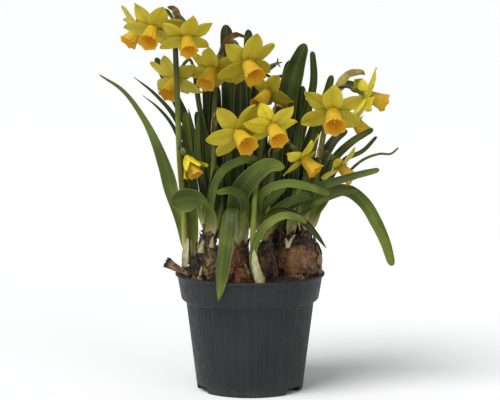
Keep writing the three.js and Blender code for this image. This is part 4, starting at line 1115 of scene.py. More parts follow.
# Most of the scraps lie at the left and a few in front, and none outside a circle in the rim
SCRAP_COUNT, SCRAPS_AT_LEFT, SCRAP_CIRCLE = 34, 26, 53
crumbs = bmesh.new()
for i in range(CRUMB_COUNT):
    radius = (RIM_RADIUS - 1.2) * math.sqrt((scatter(i + 0.3) + 1) / 2)
    angle = math.pi * scatter(i + 2000.7)
    x, y = radius * math.cos(angle), radius * math.sin(angle)
    size = 0.45 + 0.9 * ((scatter(i + 4000.1) + 1) / 2) ** 3
    near = min(away(x, y, n["at"]) - bulb_radius(n, (SOIL_LEVEL - n["bottom"]) / (n["top"] - n["bottom"]))
               for n in NOSES)
    if near < size + 0.3 or away(x, y, FRONT_STEM) < 5 + size or away(x, y, FRONT_SHEATH) < 3.4 + size:
        continue
    spot = Vector((x, y, soil_top(x, y) * (1 if radius < RIM_RADIUS * 0.95 else 0.985) + size * 0.2))
    ball = bmesh.ops.create_icosphere(crumbs, subdivisions=1, radius=size)["verts"]
    for vert in ball:
        vert.co *= 1 + 0.35 * noise.noise(vert.co * 1.5 + Vector((i, 0, 0)))
    bmesh.ops.scale(crumbs, verts=ball, vec=(1, 1 + 0.3 * scatter(i + 6000.2), 0.75))
    bmesh.ops.translate(crumbs, verts=ball, vec=spot)
finished(crumbs, "compost_crumbs", [peat_compost])

# %% Root threads
roots = bmesh.new()
for i in range(ROOT_COUNT):
    x, y = 37 + 6 * scatter(i + 0.7), -24 + 2 * scatter(i + 30.1)
    way = Vector((0.8 * scatter(i + 60.3), -0.45, 0))
    start = Vector((x, y, soil_top(x, y) + 1.2))
    line = [start + way * reach + UP * lift for reach, lift in
            ((0, 0.6), (2.5, 1.6 + scatter(i)), (5.5, 0.9), (8.5 + 2 * scatter(i + 5), -0.8))]
    stem(roots, line, 0.3, 0.16, rows=12, around=7, seed=i)
finished(roots, "root_threads", [root_white])

# %% Litter of dry tunic scraps
litter = bmesh.new()
for i in range(SCRAP_COUNT):
    if i < SCRAPS_AT_LEFT:
        x, y = -43 + 8 * scatter(i + 0.2), -19 + 13 * scatter(i + 50.9)
    else:
        x, y = -2 + 14 * scatter(i), -47
    if math.hypot(x, y) > SCRAP_CIRCLE:
        continue
    way = Vector((scatter(i + 3.3), scatter(i + 6.1), 0.5 + 0.4 * scatter(i + 9.7))).normalized()
    foot = Vector((x, y, soil_top(x, y) + 0.4))
    long = 6 + 2.5 * scatter(i + 12)
    blade(litter, [foot, foot + way * long * 0.5 + UP * 0.8, foot + way * long], 3.6 + scatter(i + 15),
          look=(scatter(i + 21), scatter(i + 24) - 0.6, 0.9), tone=0.6 + 0.6 * scatter(i + 27), seed=i,
          thick=0.35, rim=0.2, crumple=0.8, rows=12, around=10, blunt=0.2, wear_and_shade=0.8 if i % 3 else 0.1)
finished(litter, "dry_litter", [TUNICS["pale"]])

# %% [markdown]
# ## Shoots
# On each bulb the leaves, flower stems, pedicels and seed cases are one grown piece. All of them start
# inside the neck, as the real ones do, and each leaf keeps a tone of its own from dark to yellow-green, which
# paints the light and shade on it. Most points are those of the solids. A few front leaves were moved a
# little to where the photo has them, and pale sheathing leaves and dark ones at the back fill the clump; the
# darkness of those at the back is painted shade.

# %% Shoots and blooms by listed points
# Each bloom's brightness is painted light: the blooms in the light get the brightest petals, those in shade
# duller ones
BLOOM_KEYS = ("shoot", "at", "facing", "roll", "size", "freshness_and_light", "pedicel", "lean", "broad")
BLOOMS = [dict(zip(BLOOM_KEYS, row)) for row in (
    ("far_left", (-88, 14, 288), (-0.6, -0.4, -0.7), 10, 0.92, 0.7, [(-60, 1, 295), (-67, 10, 302)]),
    ("far_left", (-76, -17, 289), (-0.2, -0.74, -0.64), -30, 0.98, 0.3, [(-60, 0, 295), (-66, 1, 303)], -1),
    ("far_left", (-49, -26, 282), (0.12, -0.7, -0.7), 0, 0.88, 0.3, [(-60, -1, 294), (-56, -8, 299)]),
    ("back_left", (-60, 19, 247), (-0.38, -0.6, -0.7), 0, 0.96, 0.6, [(-45, 31, 255), (-49, 31, 263)]),
    ("back_left", (-30, 2, 256), (-0.32, -0.64, -0.7), -10, 0.96, 0.3, [(-20, 21, 263), (-21, 19, 273)]),
    ("back_left", (-2, -14, 262), (0.36, -0.72, -0.6), 0, 1.06, 0.3, [(-20, 21, 263), (-13, 12, 278)]),
    ("back_right", (14, 18, 237), (-0.5, -0.55, -0.67), 10, 0.92, 0.3, [(29, 33, 238), (27, 31, 249)]),
    ("middle_left", (-9, -36, 208), (0.42, -0.78, -0.46), -20, 1.06, 0.3,
     [(-27, -17, 212), (-25, -18, 219), (-22, -18.5, 221)]),
    ("front", (17.5, -42, 214), (0.3, -0.74, -0.6), -30, 0.95, 1.2, [(15, -14, 215), (14, -17, 226)]),
    ("right", (65, -22, 224), (0.05, -0.8, -0.6), 0, 1.08, 0.3, [(66, 5, 233), (64.5, -2, 239)]),
    ("right", (93, -4, 236), (0.88, 0.25, -0.4), -4, 0.94, 1.1, [(66, 5, 233), (70, 0, 241)]),
    ("right", (84, 18, 215), (0.6, -0.3, -0.74), 20, 0.88, 0.3, [(66, 6, 231), (67, 15, 235)]),
    ("centre", (42, -28, 188), (0.66, -0.34, -0.67), 30, 0.86, 0.8, [(20, -20, 191), (25, -20, 198)]),
    ("inner_right", (72, -17, 180), (0.65, -0.25, -0.7), 10, 0.8, 0.3, [(54, -9, 184), (59, -11, 191)]),
    ("far_left", (-48, -16, 184), (0.45, -0.4, -0.8), 10, 0.74, 1.6,
     [(-55, 2, 184), (-56, -4, 195)], 66, 0.75))]

# Each shoot has its name, its bulb, its leaves and its flower stems; each leaf has the values of LEAF_KEYS
LEAF_KEYS = ("width", "tone", "points", "form", "twist", "look")
# A leaf's tone is painted light and shade, dark at the back and in shadow and lighter where the light falls;
# a pair of tones runs from its foot to its tip, as where a leaf rises in shade and its lit end hangs out.
SHOOTS = [
    ("far_left", "bulb_far_left", [
        (11, (0.9, 0.35), [(-53, 3, 116), (-57, 3, 138), (-61, -4, 158), (-66, -12, 181), (-79, -17, 213),
                           (-99, -18, 241), (-118, -18, 253)], "sickle", -60),
        (10, 0.7, [(-46, 6, 130), (-47.5, 7, 150), (-50, 11, 185), (-52, 14, 222)], "strap", 20),
    ], [
        [(-50, 2, 102), (-53.5, 0, 150), (-56, -1, 182), (-58, 0, 240), (-60, 0, 297)],
        [(-47, 6, 110), (-51, 8, 145), (-54, 5, 172), (-55, 2, 186)],
    ]),
    ("middle_left", "bulb_middle_left", [
        (15, (0.7, 0.4), [(-30, -24, 138), (-32, -30, 150), (-42, -33, 157),
                          (-61, -34, 155)], "paddle", 30),
        (5.5, 0.15, [(-37, -7, 150), (-43, 0, 188), (-49, 3, 225)], "pointed", 0, (0.4, -1, 0)),
        (5.5, 0.2, [(-34, -5, 150), (-41, -3, 190), (-41, -1, 223)], "pointed", 0, (-0.5, -1, 0)),
        (4, 0.1, [(-40, -4, 145), (-48, 2, 185), (-60, 6, 217), (-76, 8, 236),
                  (-93, 8, 250)], "pointed", 30),
        (3.5, 0.15, [(-43, 1, 148), (-52, 8, 184), (-62, 11, 210), (-74, 12, 225),
                     (-86, 12, 235)], "pointed", 40),
        (8, (0.35, 0.6), [(-30, -20, 145), (-26, -25, 168), (-18, -29, 180), (-7, -32, 186),
                          (6, -33, 188.5)], "strap", 0, (-0.6, -0.6, 0.2)),
        (8, 0.12, [(-30, -9, 150), (-35, -4, 185), (-36, -2, 214)], "pointed", 20, (0.2, -1, 0)),
        (7, 0.1, [(-26, -12, 150), (-19, -12, 180), (-16, -10, 203)], "pointed", 0, (-0.2, -1, 0)),
        (13, 0.1, [(-31.5, -17, 130), (-29, -18, 145), (-27, -18, 162), (-26, -17, 182)], "sheath"),
    ], [
        [(-32, -13, 126), (-30, -15, 160), (-28, -17, 195), (-27, -17, 214)],
    ]),
    ("front_bulb", "bulb_front", [
        (14.5, (0.15, 0.85), [(-9, -34, 128), (-14, -37, 146), (-17, -44, 150), (-18, -53, 141),
                              (-21, -58.2, 117), (-24.5, -58.6, 80.5)], "folded", -16, (0, -1, 0)),
        (9.5, (0.2, 0.9), [(-4.5, -34, 130), (-2.5, -36, 150), (-5.5, -39, 160.5), (-14, -42, 166),
                           (-26.5, -44, 163.5)], "strap", 55, (-1, -0.4, 0)),
        (15, (0.0, 1.0), [(-10, -30, 140), (-8, -34, 162), (3, -38, 177), (15, -40, 185),
                          (27, -41, 182.5)], "lance"),
        (8, 0.8, [(-5.5, -34, 125), (-4.5, -35, 135), (-4, -35, 148)], "sheath"),
    ], []),
    ("front", None, [
        (6.4, 0.8, [(2.5, -47, 109), (3, -48, 119), (6, -48, 128), (13, -47, 138), (26, -45.5, 145),
                    (38, -44, 143), (44, -43, 139)], "strap", 0, (-0.3, -1, 0.4)),
    ], [
        [(5, -44, 100), (2.5, -41, 115), (3, -36, 148), (5, -31, 170), (9, -24, 198), (15, -14, 218)],
    ]),
    ("centre", "bulb_centre", [
        (6.5, (0.3, 0.85), [(9, -24, 138), (8, -33, 156), (14, -39, 165), (28, -41, 170), (46, -40, 167),
                            (62, -38, 161)], "strap", 0, (-0.6, -0.8, 0.2)),
        (6.5, 0.35, [(7, -22, 136), (10, -27, 148), (18, -30, 157),
                     (28, -31, 166)], "strap", 0, (-0.6, -0.8, 0.2)),
        (7, 0.5, [(11, -22, 130), (17, -27, 144), (33, -31, 155),
                  (47, -32, 160)], "strap", 0, (-0.5, -0.8, 0.3)),
        (5.5, 0.4, [(20, -20, 134), (34, -25, 150), (49, -27, 157)], "strap", 0, (-0.5, -0.8, 0.3)),
        (4, 0.15, [(10, -20, 145), (12, -28, 168), (11, -34, 191)], "strap", 0, (0, -1, 0.2)),
        (9, 0.05, [(14, -10, 145), (20, -6, 175), (24, -4, 204)], "strap", 20),
        (8, 0.1, [(10, -9, 145), (4, -6, 170), (0, -6, 192)], "strap", -20),
        (6.5, 0.1, [(14, -26, 140), (22, -34, 148), (33, -38, 147), (44, -40.5, 139), (52, -41, 130),
                    (59.5, -40, 119)], "pointed", 0, (-0.3, -0.9, 0.3)),
        (10, 0.1, [(12, -15, 128), (12, -14, 145), (11, -12, 170)], "sheath"),
    ], [
        [(12, -16, 124), (14, -18, 155), (18, -20, 182), (20, -20, 195)],
    ]),
    ("right", "bulb_right", [
        (10, (0.45, 0.75), [(53, -13, 146), (63, -17, 160), (77, -19, 162), (90, -21, 153), (99, -21, 139),
                            (107, -21, 122), (113, -21, 102)], "strap", 20, (-0.5, -0.9, 0)),
        (7, 0.35, [(53, -5, 152), (61, 3, 173), (69, 4, 186), (82, 0, 199),
                   (98, -4, 209)], "strap", 0, (-0.3, -1, 0.2)),
        (4.5, 0.3, [(57, -2, 150), (66, 10, 170), (77, 14, 183), (91, 13, 190),
                    (102, 11, 202)], "strap", 0, (-0.3, -1, 0.2)),
        (2.4, 0.35, [(58, -6, 146), (73, -2, 168), (90, 0, 184), (104, 0, 189), (112, -1, 189),
                     (118.5, -1, 194)], "strap", 0, (-0.3, -1, 0.2)),
        (6.5, 0.45, [(47, -16, 145), (49, -27, 161), (57, -34, 168), (70, -35, 172), (84, -35, 176),
                     (101, -34, 180)], "strap", 0, (-0.5, -1, 0.2)),
        (9, 0.15, [(51, -2, 150), (57, 4, 180), (67, 10, 198), (78, 14, 207)], "strap", 0, (-0.2, -1, 0)),
        (8, 0.2, [(45, -5, 150), (47, 2, 180), (53, 8, 205)], "strap", 15),
        (8.5, 1.0, [(46, -12, 135), (49, -12, 150), (54, -10, 172)], "sheath", 0, (-0.2, -1, 0)),
        (8, 0.9, [(49, -8, 133), (54, -8, 150), (60, -6, 172)], "sheath", 0, (0.3, -1, 0)),
        (9, 0.8, [(42, -10, 133), (43, -10, 150), (46, -8, 176)], "sheath"),
    ], [
        [(47, -6, 130), (52, 0, 160), (58, 4, 200), (66, 5, 236)],
    ]),
    ("inner_right", "second_nose", [
        (4, 0.5, [(35, -13, 136), (44, -22, 146), (52, -26, 152), (68, -27, 159),
                  (86, -26, 163)], "strap", 0, (-0.4, -1, 0.2)),
        (8, 0.15, [(33, -2, 150), (36, 4, 185), (40, 6, 214)], "strap", 15),
        (9, 0.9, [(33, -7, 130), (35, -8, 145), (38, -8, 166)], "sheath"),
    ], [
        [(34, -7, 135), (37, -9, 155), (46, -10, 175), (54, -9, 187)],
    ]),
    ("back_left", "bulb_back_left", [
        (12, 0.2, [(-18, 32, 160), (-16, 36, 220), (-18, 37, 265), (-20, 36, 291)], "strap", 10),
        (8.5, 0.12, [(-8, 33, 160), (-3, 40, 220), (-2, 41, 260),
                     (-1.5, 41, 287)], "strap", 0, (0.2, -1, 0)),
        (7, 0.15, [(-32, 36, 160), (-54, 42, 215), (-70, 43, 248),
                   (-77, 43, 264)], "strap", 0, (0.3, -1, 0)),
        (9, 0.1, [(-27, 36, 165), (-34, 44, 210), (-37, 46, 246)], "strap", 20, (0.2, -1, 0)),
        (9, 0.1, [(-25, 22, 150), (-37, 17, 190), (-43, 13, 222)], "strap", 10, (0.3, -1, 0)),
        (9, 0.05, [(-12, 22, 150), (-9, 14, 185), (-6, 10, 220)], "strap", -15, (-0.1, -1, 0)),
        (12, 0.0, [(-25, 22, 124), (-29, 16, 140), (-31, 14, 168)]),
        (12, 0.0, [(-8, 22, 124), (-3, 16, 138), (-2, 14, 168)]),
        (12, 0.0, [(-24, 26, 135), (-27, 24, 170), (-28, 24, 243)]),
        (13, 0.0, [(-14, 26, 135), (-9, 24, 165), (-7.5, 26, 246)]),
    ], [
        [(-24, 22, 140), (-29, 18, 180), (-29, 19, 215), (-27, 24, 241), (-20, 22, 265)],
        [(-24, 28, 145), (-34, 31, 190), (-42, 32, 230), (-45, 31, 258)],
    ]),
    ("back_right", "bulb_back_right", [
        (15, 0.22, [(22, 32, 165), (28, 32, 215), (36, 31, 252),
                    (44.5, 30, 276)], "lance", 0, (-0.1, -1, 0)),
        (10, 0.12, [(17, 38, 165), (24, 42, 210), (30, 43, 245),
                    (33, 42, 262)], "strap", 20, (-0.3, -1, 0)),
        (6, 0.15, [(31, 27, 165), (43, 24, 210), (51, 24, 245), (50, 24, 270)], "strap", 30, (-0.3, -1, 0)),
        (7, 0.15, [(35, 24, 165), (51, 19, 205), (61, 17, 232), (66, 17, 251)], "strap", 0, (-0.3, -1, 0)),
        (6, 0.2, [(38, 32, 165), (57, 32, 210), (68, 30, 234), (78, 29, 243),
                  (91, 29, 240)], "strap", 0, (-0.3, -1, 0.2)),
        (9, 0.1, [(10, 36, 165), (9, 42, 205), (10, 44, 240)], "strap", 10),
        (8, 0.1, [(34, 36, 155), (48, 40, 185), (55, 42, 208)], "strap", 15, (-0.2, -1, 0)),
        (9, 0.05, [(18, 18, 150), (24, 10, 180), (30, 5, 212)], "strap", 10),
        (13, 0.0, [(22, 24, 123), (27, 18, 133), (28, 14, 165)]),
        (13, 0.0, [(24, 20, 122), (33, 10, 129), (37, 6, 160)]),
        (13, 0.0, [(11, 27, 135), (7, 24, 170), (5, 27, 244)]),
        (12, 0.0, [(21, 27, 135), (27, 23, 165), (32, 20, 208)]),
        (9, 0.0, [(24, 30, 135), (36, 27, 175), (42.5, 25, 242)]),
    ], [
        [(19, 29, 150), (25, 32, 200), (29, 33, 240)],
    ]),
]

# Name, width, the way it looks and its points
SPATHES = [
    ("far_left", 6, (-0.3, -0.6, 0), [(-57, 2.6, 287), (-56.6, 3.6, 297), (-59.6, 4.2, 304),
                                      (-65.5, 4.2, 306)]),
    ("back_left", 6, (0.3, -0.9, 0), [(-22, 27.3, 256), (-22.5, 26.8, 268), (-18, 24, 280), (-9, 21, 284),
                                      (-2, 18, 281)]),
    ("left_behind", 4.5, (-1, -0.2, 0), [(-41.5, 33, 248), (-41, 34.5, 260), (-46, 34.5, 269)]),
    ("middle_left", 4, (1, -0.3, 0), [(-30.3, -16, 206), (-30.5, -15.5, 216), (-26.5, -15, 224)]),
    ("front", 4.5, (-1, -0.4, 0), [(17.8, -15.5, 211), (18.5, -14, 221), (21, -14, 228), (26, -14, 227)]),
    ("right", 6.5, (-0.6, -0.8, 0), [(69.5, 7, 229), (71, 9, 239), (76, 10, 248), (85, 10, 253),
                                     (92, 9, 252)]),
    ("inner_right", 4, (0, 1, 0), [(52, -7.1, 181), (55, -6.9, 189), (55, -6.7, 196)]),
    ("centre", 4, (1, -0.3, 0), [(15.2, -18.5, 184), (15, -18, 193), (18.5, -16.5, 200)]),
]

# %% Growing the shoots
FRONT_SEAT = {"at": FRONT_STEM, "radius": 4.2, "foot": 76.3, "top": 89}
TUBE_LENGTH, SEAT_GAP, OVARY_LENGTH = 9, 0.3, 7
# The first leaves of the back shoots are broader here than in their solids
BROADER, BROAD_LEAVES = 1.25, 8


def facing_turn(facing):
    """The turn from +Z to the way a bloom faces, with its own top kept uppermost."""
    ahead = Vector(facing).normalized()
    right = UP.cross(ahead).normalized()
    return Matrix((right, ahead.cross(right), ahead)).transposed()


def ovary(bm, bloom):
    """The three-sided seed case behind a bloom, and its pedicel from the head of the flower stem."""
    turn, at = facing_turn(bloom["facing"]), Vector(bloom["at"])
    start = -TUBE_LENGTH * bloom["size"] - SEAT_GAP
    foot = start - OVARY_LENGTH
    rows = ((0, 0), (0.02, 1.0), (0.12, 1.45), (0.3, 2.05), (0.52, 2.35), (0.74, 2.2), (0.9, 1.85),
            (0.98, 1.6), (1, 0))

    def place(round_it, row):
        share, radius = rows[row]
        angle = 2 * math.pi * round_it
        radius *= 1 + 0.07 * math.cos(3 * angle)
        spot = Vector((radius * math.cos(angle), radius * math.sin(angle), foot + OVARY_LENGTH * share))
        return at + turn @ spot, math.cos(3 * angle), (round_it * 14, share * 7), 0

    skin(bm, 18, len(rows) - 1, place, 2, 0.5)
    ahead = Vector(bloom["facing"]).normalized()
    end = at + ahead * (foot + 0.8)
    stem(bm, [*bloom["pedicel"], end - ahead * 3, end], 1.2, 1.35, finish=2, rows=18, around=10)


def rooted(points, seat):
    """The points of a leaf or flower stem, with its start in the neck that it grows from."""
    out = Vector((points[0][0] - seat["at"][0], points[0][1] - seat["at"][1], 0))
    foot = Vector((*seat["at"], seat["top"] + 1.6)) + out.normalized() * seat["radius"] * 0.5
    return [foot, *points]


seats = {nose["name"]: {"at": nose["at"], "radius": nose["neck"] - 1.8, "foot": nose["top"] - 4.7,
                        "top": nose["top"]} for nose in NOSES}
for number, (name, bulb_name, leaves, scapes) in enumerate(SHOOTS):
    seat = seats.get(bulb_name, FRONT_SEAT)
    green = bmesh.new()
    centre = Vector((*seat["at"], seat["foot"]))
    core = [centre, centre + UP * (seat["top"] + 10 - seat["foot"])]
    stem(green, core, seat["radius"], seat["radius"] * 0.75, finish=1, rows=14, around=20)
    for i, row in enumerate(leaves):
        leaf = dict(zip(LEAF_KEYS, row))
        form = leaf.get("form", "strap")
        spread, blunt = FORMS[form]
        broad = BROADER if name.startswith("back") and i < BROAD_LEAVES else 1
        blade(green, rooted(leaf["points"], seat), leaf["width"] * broad, leaf.get("look", (0, -1, 0)),
              leaf.get("twist", 0), leaf["tone"], seed=number * 11 + i, spread=spread, blunt=blunt,
              turns=FINE_TURNS if form == "folded" else FACE_ROWS)
    for i, points in enumerate(scapes):
        stem(green, rooted(points, seat), 2.3, 2.15, finish=1, rows=40, seed=number * 7 + i)
    for bloom in BLOOMS:
        if bloom["shoot"] == name:
            ovary(green, bloom)
    if name == "back_right":
        # The green bud with a starry tip that stands beside a bloom at the back
        stem(green, [(26, 31, 236), (19, 25, 247), (12, 19, 252), (11, 18, 254)], 1.2, finish=2)
        stem(green, [(10, 18, 253), (15, 17, 256.5), (21, 16, 260)], 3.1, 1.6, finish=2)
        for tip in ((26, 15, 261.5), (24.5, 15, 257.5), (22.5, 15, 265)):
            stem(green, [(19, 16, 259.5), (21.5, 15.5, 260.5), tip], 1.3, 0.4, finish=2, rows=12, around=8)
    greens = [leaf_green, stem_green, stalk_green]
    finished(green, "growth_" + name, greens, ["shoot_" + name])

# %% [markdown]
# ## Petals
# Six tepals stand in two rings of three round the end of a green tube, broad and pointed, each with a
# midrib, soft lengthwise folds and an edge that is never quite flat. They are flat rolled skins with their
# bow and folds worked in, and no two are alike.

# %% Petals
OUTER_RING = {"drop": 0.5, "curl": 1.5, "lean": 0, "breadth": 1}
INNER_RING = {"drop": 1.3, "curl": 3.5, "lean": -5, "breadth": 0.86}
TEPAL_LENGTH, TEPAL_WIDTH, TEPAL_ROOT = 25.6, 12.5, 2.2
TEPAL_SHAPE = ((0, 0.6), (0.1, 0.86), (0.22, 1.1), (0.34, 1.2), (0.46, 1.23), (0.58, 1.17), (0.7, 1.02),
               (0.8, 0.8), (0.88, 0.57), (0.94, 0.34), (0.98, 0.14), (1, 0.02))
TEPAL_ROWS = 24


def tepal(bm, bloom, turn, k, seed):
    """One tepal of a bloom."""
    ring = INNER_RING if k % 2 else OUTER_RING
    angle = math.radians(90 + bloom["roll"] + 60 * k + 6 * scatter(seed + k))
    slope = math.radians(bloom.get("lean", 0) + ring["lean"] + 4 * scatter(seed + k + 20))
    curl = ring["curl"] + 1.5 * scatter(seed + k + 60)
    length = TEPAL_LENGTH * (1 + 0.05 * scatter(seed + k + 40)) - TEPAL_ROOT
    width = TEPAL_WIDTH * bloom.get("broad", 1) * ring["breadth"]
    out = Vector((math.cos(angle), math.sin(angle), 0))
    aside = out.cross(UP)
    along = out * math.cos(slope) + UP * math.sin(slope)
    normal = UP * math.cos(slope) - out * math.sin(slope)
    root = out * TEPAL_ROOT - UP * (ring["drop"] + max(0, math.tan(slope)) * 3)
    at, size = Vector(bloom["at"]), bloom["size"]
    phase = 3 * scatter(seed + k + 80)

    def place(round_it, row):
        u, side = math.cos(2 * math.pi * round_it), math.sin(2 * math.pi * round_it)
        share = row / TEPAL_ROWS
        edge = noise.noise(Vector((math.copysign(4, u), share * 2.6, seed + k * 3.3)))
        half = width / 2 * float(np.interp(share, *zip(*TEPAL_SHAPE))) * (1 + 0.13 * edge * share)
        bow = -curl * share * share + 0.6 * share ** 8
        midrib = 0.6 * math.exp(-((u / 0.13) ** 2)) * (1 - 0.5 * share) * share ** 0.5
        bow += 0.9 * u * u * (1 - share) - midrib
        bow += 0.5 * share * math.cos(2.6 * math.pi * u + phase) * (1 - abs(u)) ** 0.5
        bow += 1.4 * share * u * abs(u) * math.sin(4.2 * share + phase)
        bow += 0.7 * noise.noise(Vector((u * 1.6, share * 2.2, seed + k)))
        thick = 0.26 * (1 - 0.5 * u * u) * (1 - 0.4 * share)
        spot = root + along * (share * length) + aside * (u * half) + normal * (bow + side * thick)
        return at + turn @ (spot * size), u, (u * width / 2 + k * 29 + seed * 3, share * length), 0

    skin(bm, 20, TEPAL_ROWS, place, 0, bloom["freshness_and_light"] + 0.4 * scatter(seed + k + 100))


def tube(bm, bloom, turn):
    """The green-yellow tube that the tepals stand on."""
    rows = ((-9, 0), (-9, 1.5), (-8.4, 1.8), (-6.5, 1.8), (-5, 1.95), (-3.8, 2.6), (-2.6, 3.6), (-1.4, 4.2),
            (-0.2, 4.4), (0.1, 4.2), (0.1, 0))
    at, size = Vector(bloom["at"]), bloom["size"]

    def place(round_it, row):
        z, radius = rows[row]
        angle = 2 * math.pi * round_it
        radius *= 1 + 0.05 * math.cos(6 * angle)
        spot = Vector((radius * math.cos(angle), radius * math.sin(angle), z))
        return at + turn @ (spot * size), math.cos(6 * angle), (round_it * 14, z), 0

    skin(bm, 24, len(rows) - 1, place, 1, 0.5)


for number, bloom in enumerate(BLOOMS):
    petals = bmesh.new()
    turn = facing_turn(bloom["facing"])
    for k in range(6):
        tepal(petals, bloom, turn, k, 10 * number + 3)
    tube(petals, bloom, turn)
    label = f"{number + 1:02d}"
    finished(petals, "petals_" + label, [petal_yellow, tube_yellow], ["tepals_" + label])

# %% [markdown]
# ## Trumpets
# The trumpet is a cup with flutes along it and a frilled mouth in about six lobes. Its skin runs up the
# outside, over the frill and down the inside to a floor, where six anthers stand round the style. The frill
# is worked into the rolled skin by waves that grow towards the mouth.

# %% Trumpets
# The outline of the cup by height and radius, up its outside, over its mouth and down to its floor
CUP = ((-0.3, 0), (-0.3, 3.4), (-0.1, 4.45), (1.2, 4.75), (3, 4.95), (5, 5.2), (7, 5.55), (9, 5.9),
       (10.6, 6.15), (12, 6.4), (13.2, 6.65), (14.2, 6.9), (15.1, 7.2), (15.9, 7.5), (16.5, 7.8),
       (16.95, 8.0), (17.15, 8.0), (17.15, 7.8), (16.8, 7.45), (16.2, 7.1), (15.2, 6.7), (14, 6.35),
       (12.4, 5.95), (10.6, 5.6), (9, 5.3), (7.6, 5.0), (6.6, 4.6), (6.0, 3.9), (5.8, 2.5), (5.8, 0))
FLUTES_TO, FRILL_HEIGHT = 9, 8.2


def cup(bm, bloom, turn, seed):
    """The fluted cup with its frilled mouth."""
    at, size = Vector(bloom["at"]), bloom["size"]
    phase = 3 * scatter(seed)

    def place(round_it, row):
        z, radius = CUP[row]
        angle = 2 * math.pi * round_it
        up = max(0.0, (z - FLUTES_TO) / FRILL_HEIGHT) ** 2
        lobe = math.cos(6 * angle + phase)
        small = noise.noise(Vector((math.cos(angle) * 4, math.sin(angle) * 4, seed)))
        frill = math.sin(17 * angle + 2 * small + phase)
        flute = math.cos(12 * angle + phase + small) * 0.14 + math.cos(24 * angle) * 0.06
        if radius:
            radius += flute * min(1, z / 3) + up * (0.35 * lobe + 0.32 * frill + 0.6 * small)
        z += up * (0.45 * lobe + 0.3 * small - 0.25 * frill)
        spot = Vector((radius * math.cos(angle), radius * math.sin(angle), z))
        return at + turn @ (spot * size), lobe, (round_it * 42, z), 0

    skin(bm, 96, len(CUP) - 1, place, 0, 0.5)


def anthers(bm, bloom, turn, seed):
    """Six anthers round a style, on the floor of the cup."""
    at, size = Vector(bloom["at"]), bloom["size"]
    for k in range(6):
        angle = math.radians(60 * k + 30 + 8 * scatter(seed + k))
        way = Vector((math.cos(angle), math.sin(angle), 0))
        low, high = way * 2.2 + UP * 5.6, way * 2.0 + UP * (7.2 + 0.5 * scatter(seed + k + 7))
        line = [at + turn @ (p * size) for p in (low, low.lerp(high, 0.5), high)]
        stem(bm, line, 0.3 * size, finish=1, rows=6, around=8)
        head = [at + turn @ (p * size) for p in (high - UP * 1.2, high + UP * 0.6, high + UP * 2.4)]
        stem(bm, head, 0.62 * size, 0.5 * size, finish=1, rows=8, around=10)
    style = [at + turn @ (UP * z * size) for z in (5.6, 7.6, 9.4)]
    stem(bm, style, 0.5 * size, 0.6 * size, finish=2, rows=8, around=10)
    knob = [at + turn @ (UP * z * size) for z in (9.0, 9.6, 10.2)]
    stem(bm, knob, 1.0 * size, 1.0 * size, finish=2, rows=6, around=12)


for number, bloom in enumerate(BLOOMS):
    trumpet = bmesh.new()
    turn = facing_turn(bloom["facing"])
    cup(trumpet, bloom, turn, 10 * number + 3)
    anthers(trumpet, bloom, turn, 10 * number + 3)
    label = f"{number + 1:02d}"
    parts = [trumpet_orange, anther_gold, style_green]
    finished(trumpet, "cup_" + label, parts, ["trumpet_" + label])

# %% [markdown]
# ## Spathes, sheath and stub
# A dry spathe wraps the head of each flower stem, where the pedicels leave it. A pale fleshy sheath stands
# at the foot of the front offset, and a cut, dried stem lies over the rim at the left with a frayed end.

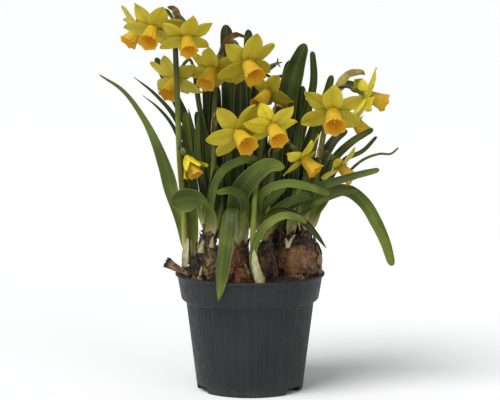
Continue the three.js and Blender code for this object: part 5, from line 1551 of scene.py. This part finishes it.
# %% Spathes and sheath
SPATHE_SPREAD = ((0, 0.7), (0.3, 0.95), (0.7, 0.9), (0.9, 0.6), (1, 0.3))
SHEATH_SPREAD = ((0, 0.6), (0.3, 0.9), (0.6, 0.8), (0.85, 0.5), (1, 0.25))
SHEATH_POINTS = [(9.4, -51.6, 85), (7, -51.4, 96), (4.2, -50.8, 108), (3, -50.3, 119)]
for number, (name, width, look, points) in enumerate(SPATHES):
    paper = bmesh.new()
    wide = width * (1.35 if name == "right" else 1.1)
    blade(paper, points, wide, look, tone=0.5 + 0.4 * scatter(number + 0.5), seed=number, thick=0.4, rim=0.25,
          crumple=0.9, rows=30, around=16, blunt=0.3, wear_and_shade=0.3, spread=SPATHE_SPREAD)
    freshness_and_light = name in ("right", "left_behind", "centre")
    finished(paper, "paper_" + name, [spathe_olive if freshness_and_light else spathe_paper], ["spathe_" + name])

pale = bmesh.new()
blade(pale, SHEATH_POINTS, 8.2, look=(0, 1, 0), tone=0.6, seed=3, thick=1.2, rim=0.5, crumple=0.15,
      spread=SHEATH_SPREAD)
finished(pale, "pale_sheath", [sheath_cream], ["sheath_front"])

# %% Stub
STUB_FOOT, STUB_AHEAD = Vector((-47.1, -13.5, 92.5)), Vector((-0.86, 0.25, 0.45))
STUB_OUTLINE = ((0, 0), (1.6, 0.1), (2.3, 0.8), (2.45, 3), (2.4, 6), (2.45, 9), (2.55, 12), (2.8, 15),
                (3.2, 18), (3.65, 20.4), (4.1, 22.4), (4.4, 23.7), (3.9, 23.9), (3.2, 22.2), (2.5, 19.8),
                (1.8, 17.6), (1.2, 16.6), (0, 16.2))
# From this row on the outline runs back inside the frayed end
STUB_INSIDE = 12
stub_turn = UP.rotation_difference(STUB_AHEAD.normalized())


def stub_place(round_it, row):
    """A point of the stub's skin, ribbed by its fibres and frayed towards its end."""
    radius, z = STUB_OUTLINE[row]
    angle = 2 * math.pi * round_it
    way = Vector((math.cos(angle), math.sin(angle), 0))
    fibre = noise.noise(Vector((way.x * 4, way.y * 4, z * 0.06)))
    end = max(0.0, (z - 17) / 7)
    radius += (0.35 * fibre + 0.25 * math.cos(9 * angle + 2 * fibre)) * min(1, radius)
    z -= end * 1.6 * (0.5 + 0.5 * math.sin(11 * angle + 3 * fibre))
    wear_and_shade = max(0, min(1, (z - 17.5) / 4)) if row < STUB_INSIDE else 1
    return STUB_FOOT + stub_turn @ (way * radius + UP * z), 0, (round_it * 16, z), wear_and_shade


stub_shape = bmesh.new()
skin(stub_shape, 40, len(STUB_OUTLINE) - 1, stub_place, 0, 0.7)
finished(stub_shape, "dry_stub", [stub_fibre], ["stub_left"])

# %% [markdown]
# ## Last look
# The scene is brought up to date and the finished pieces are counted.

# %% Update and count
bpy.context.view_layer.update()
print("pieces:", len(made_pieces))
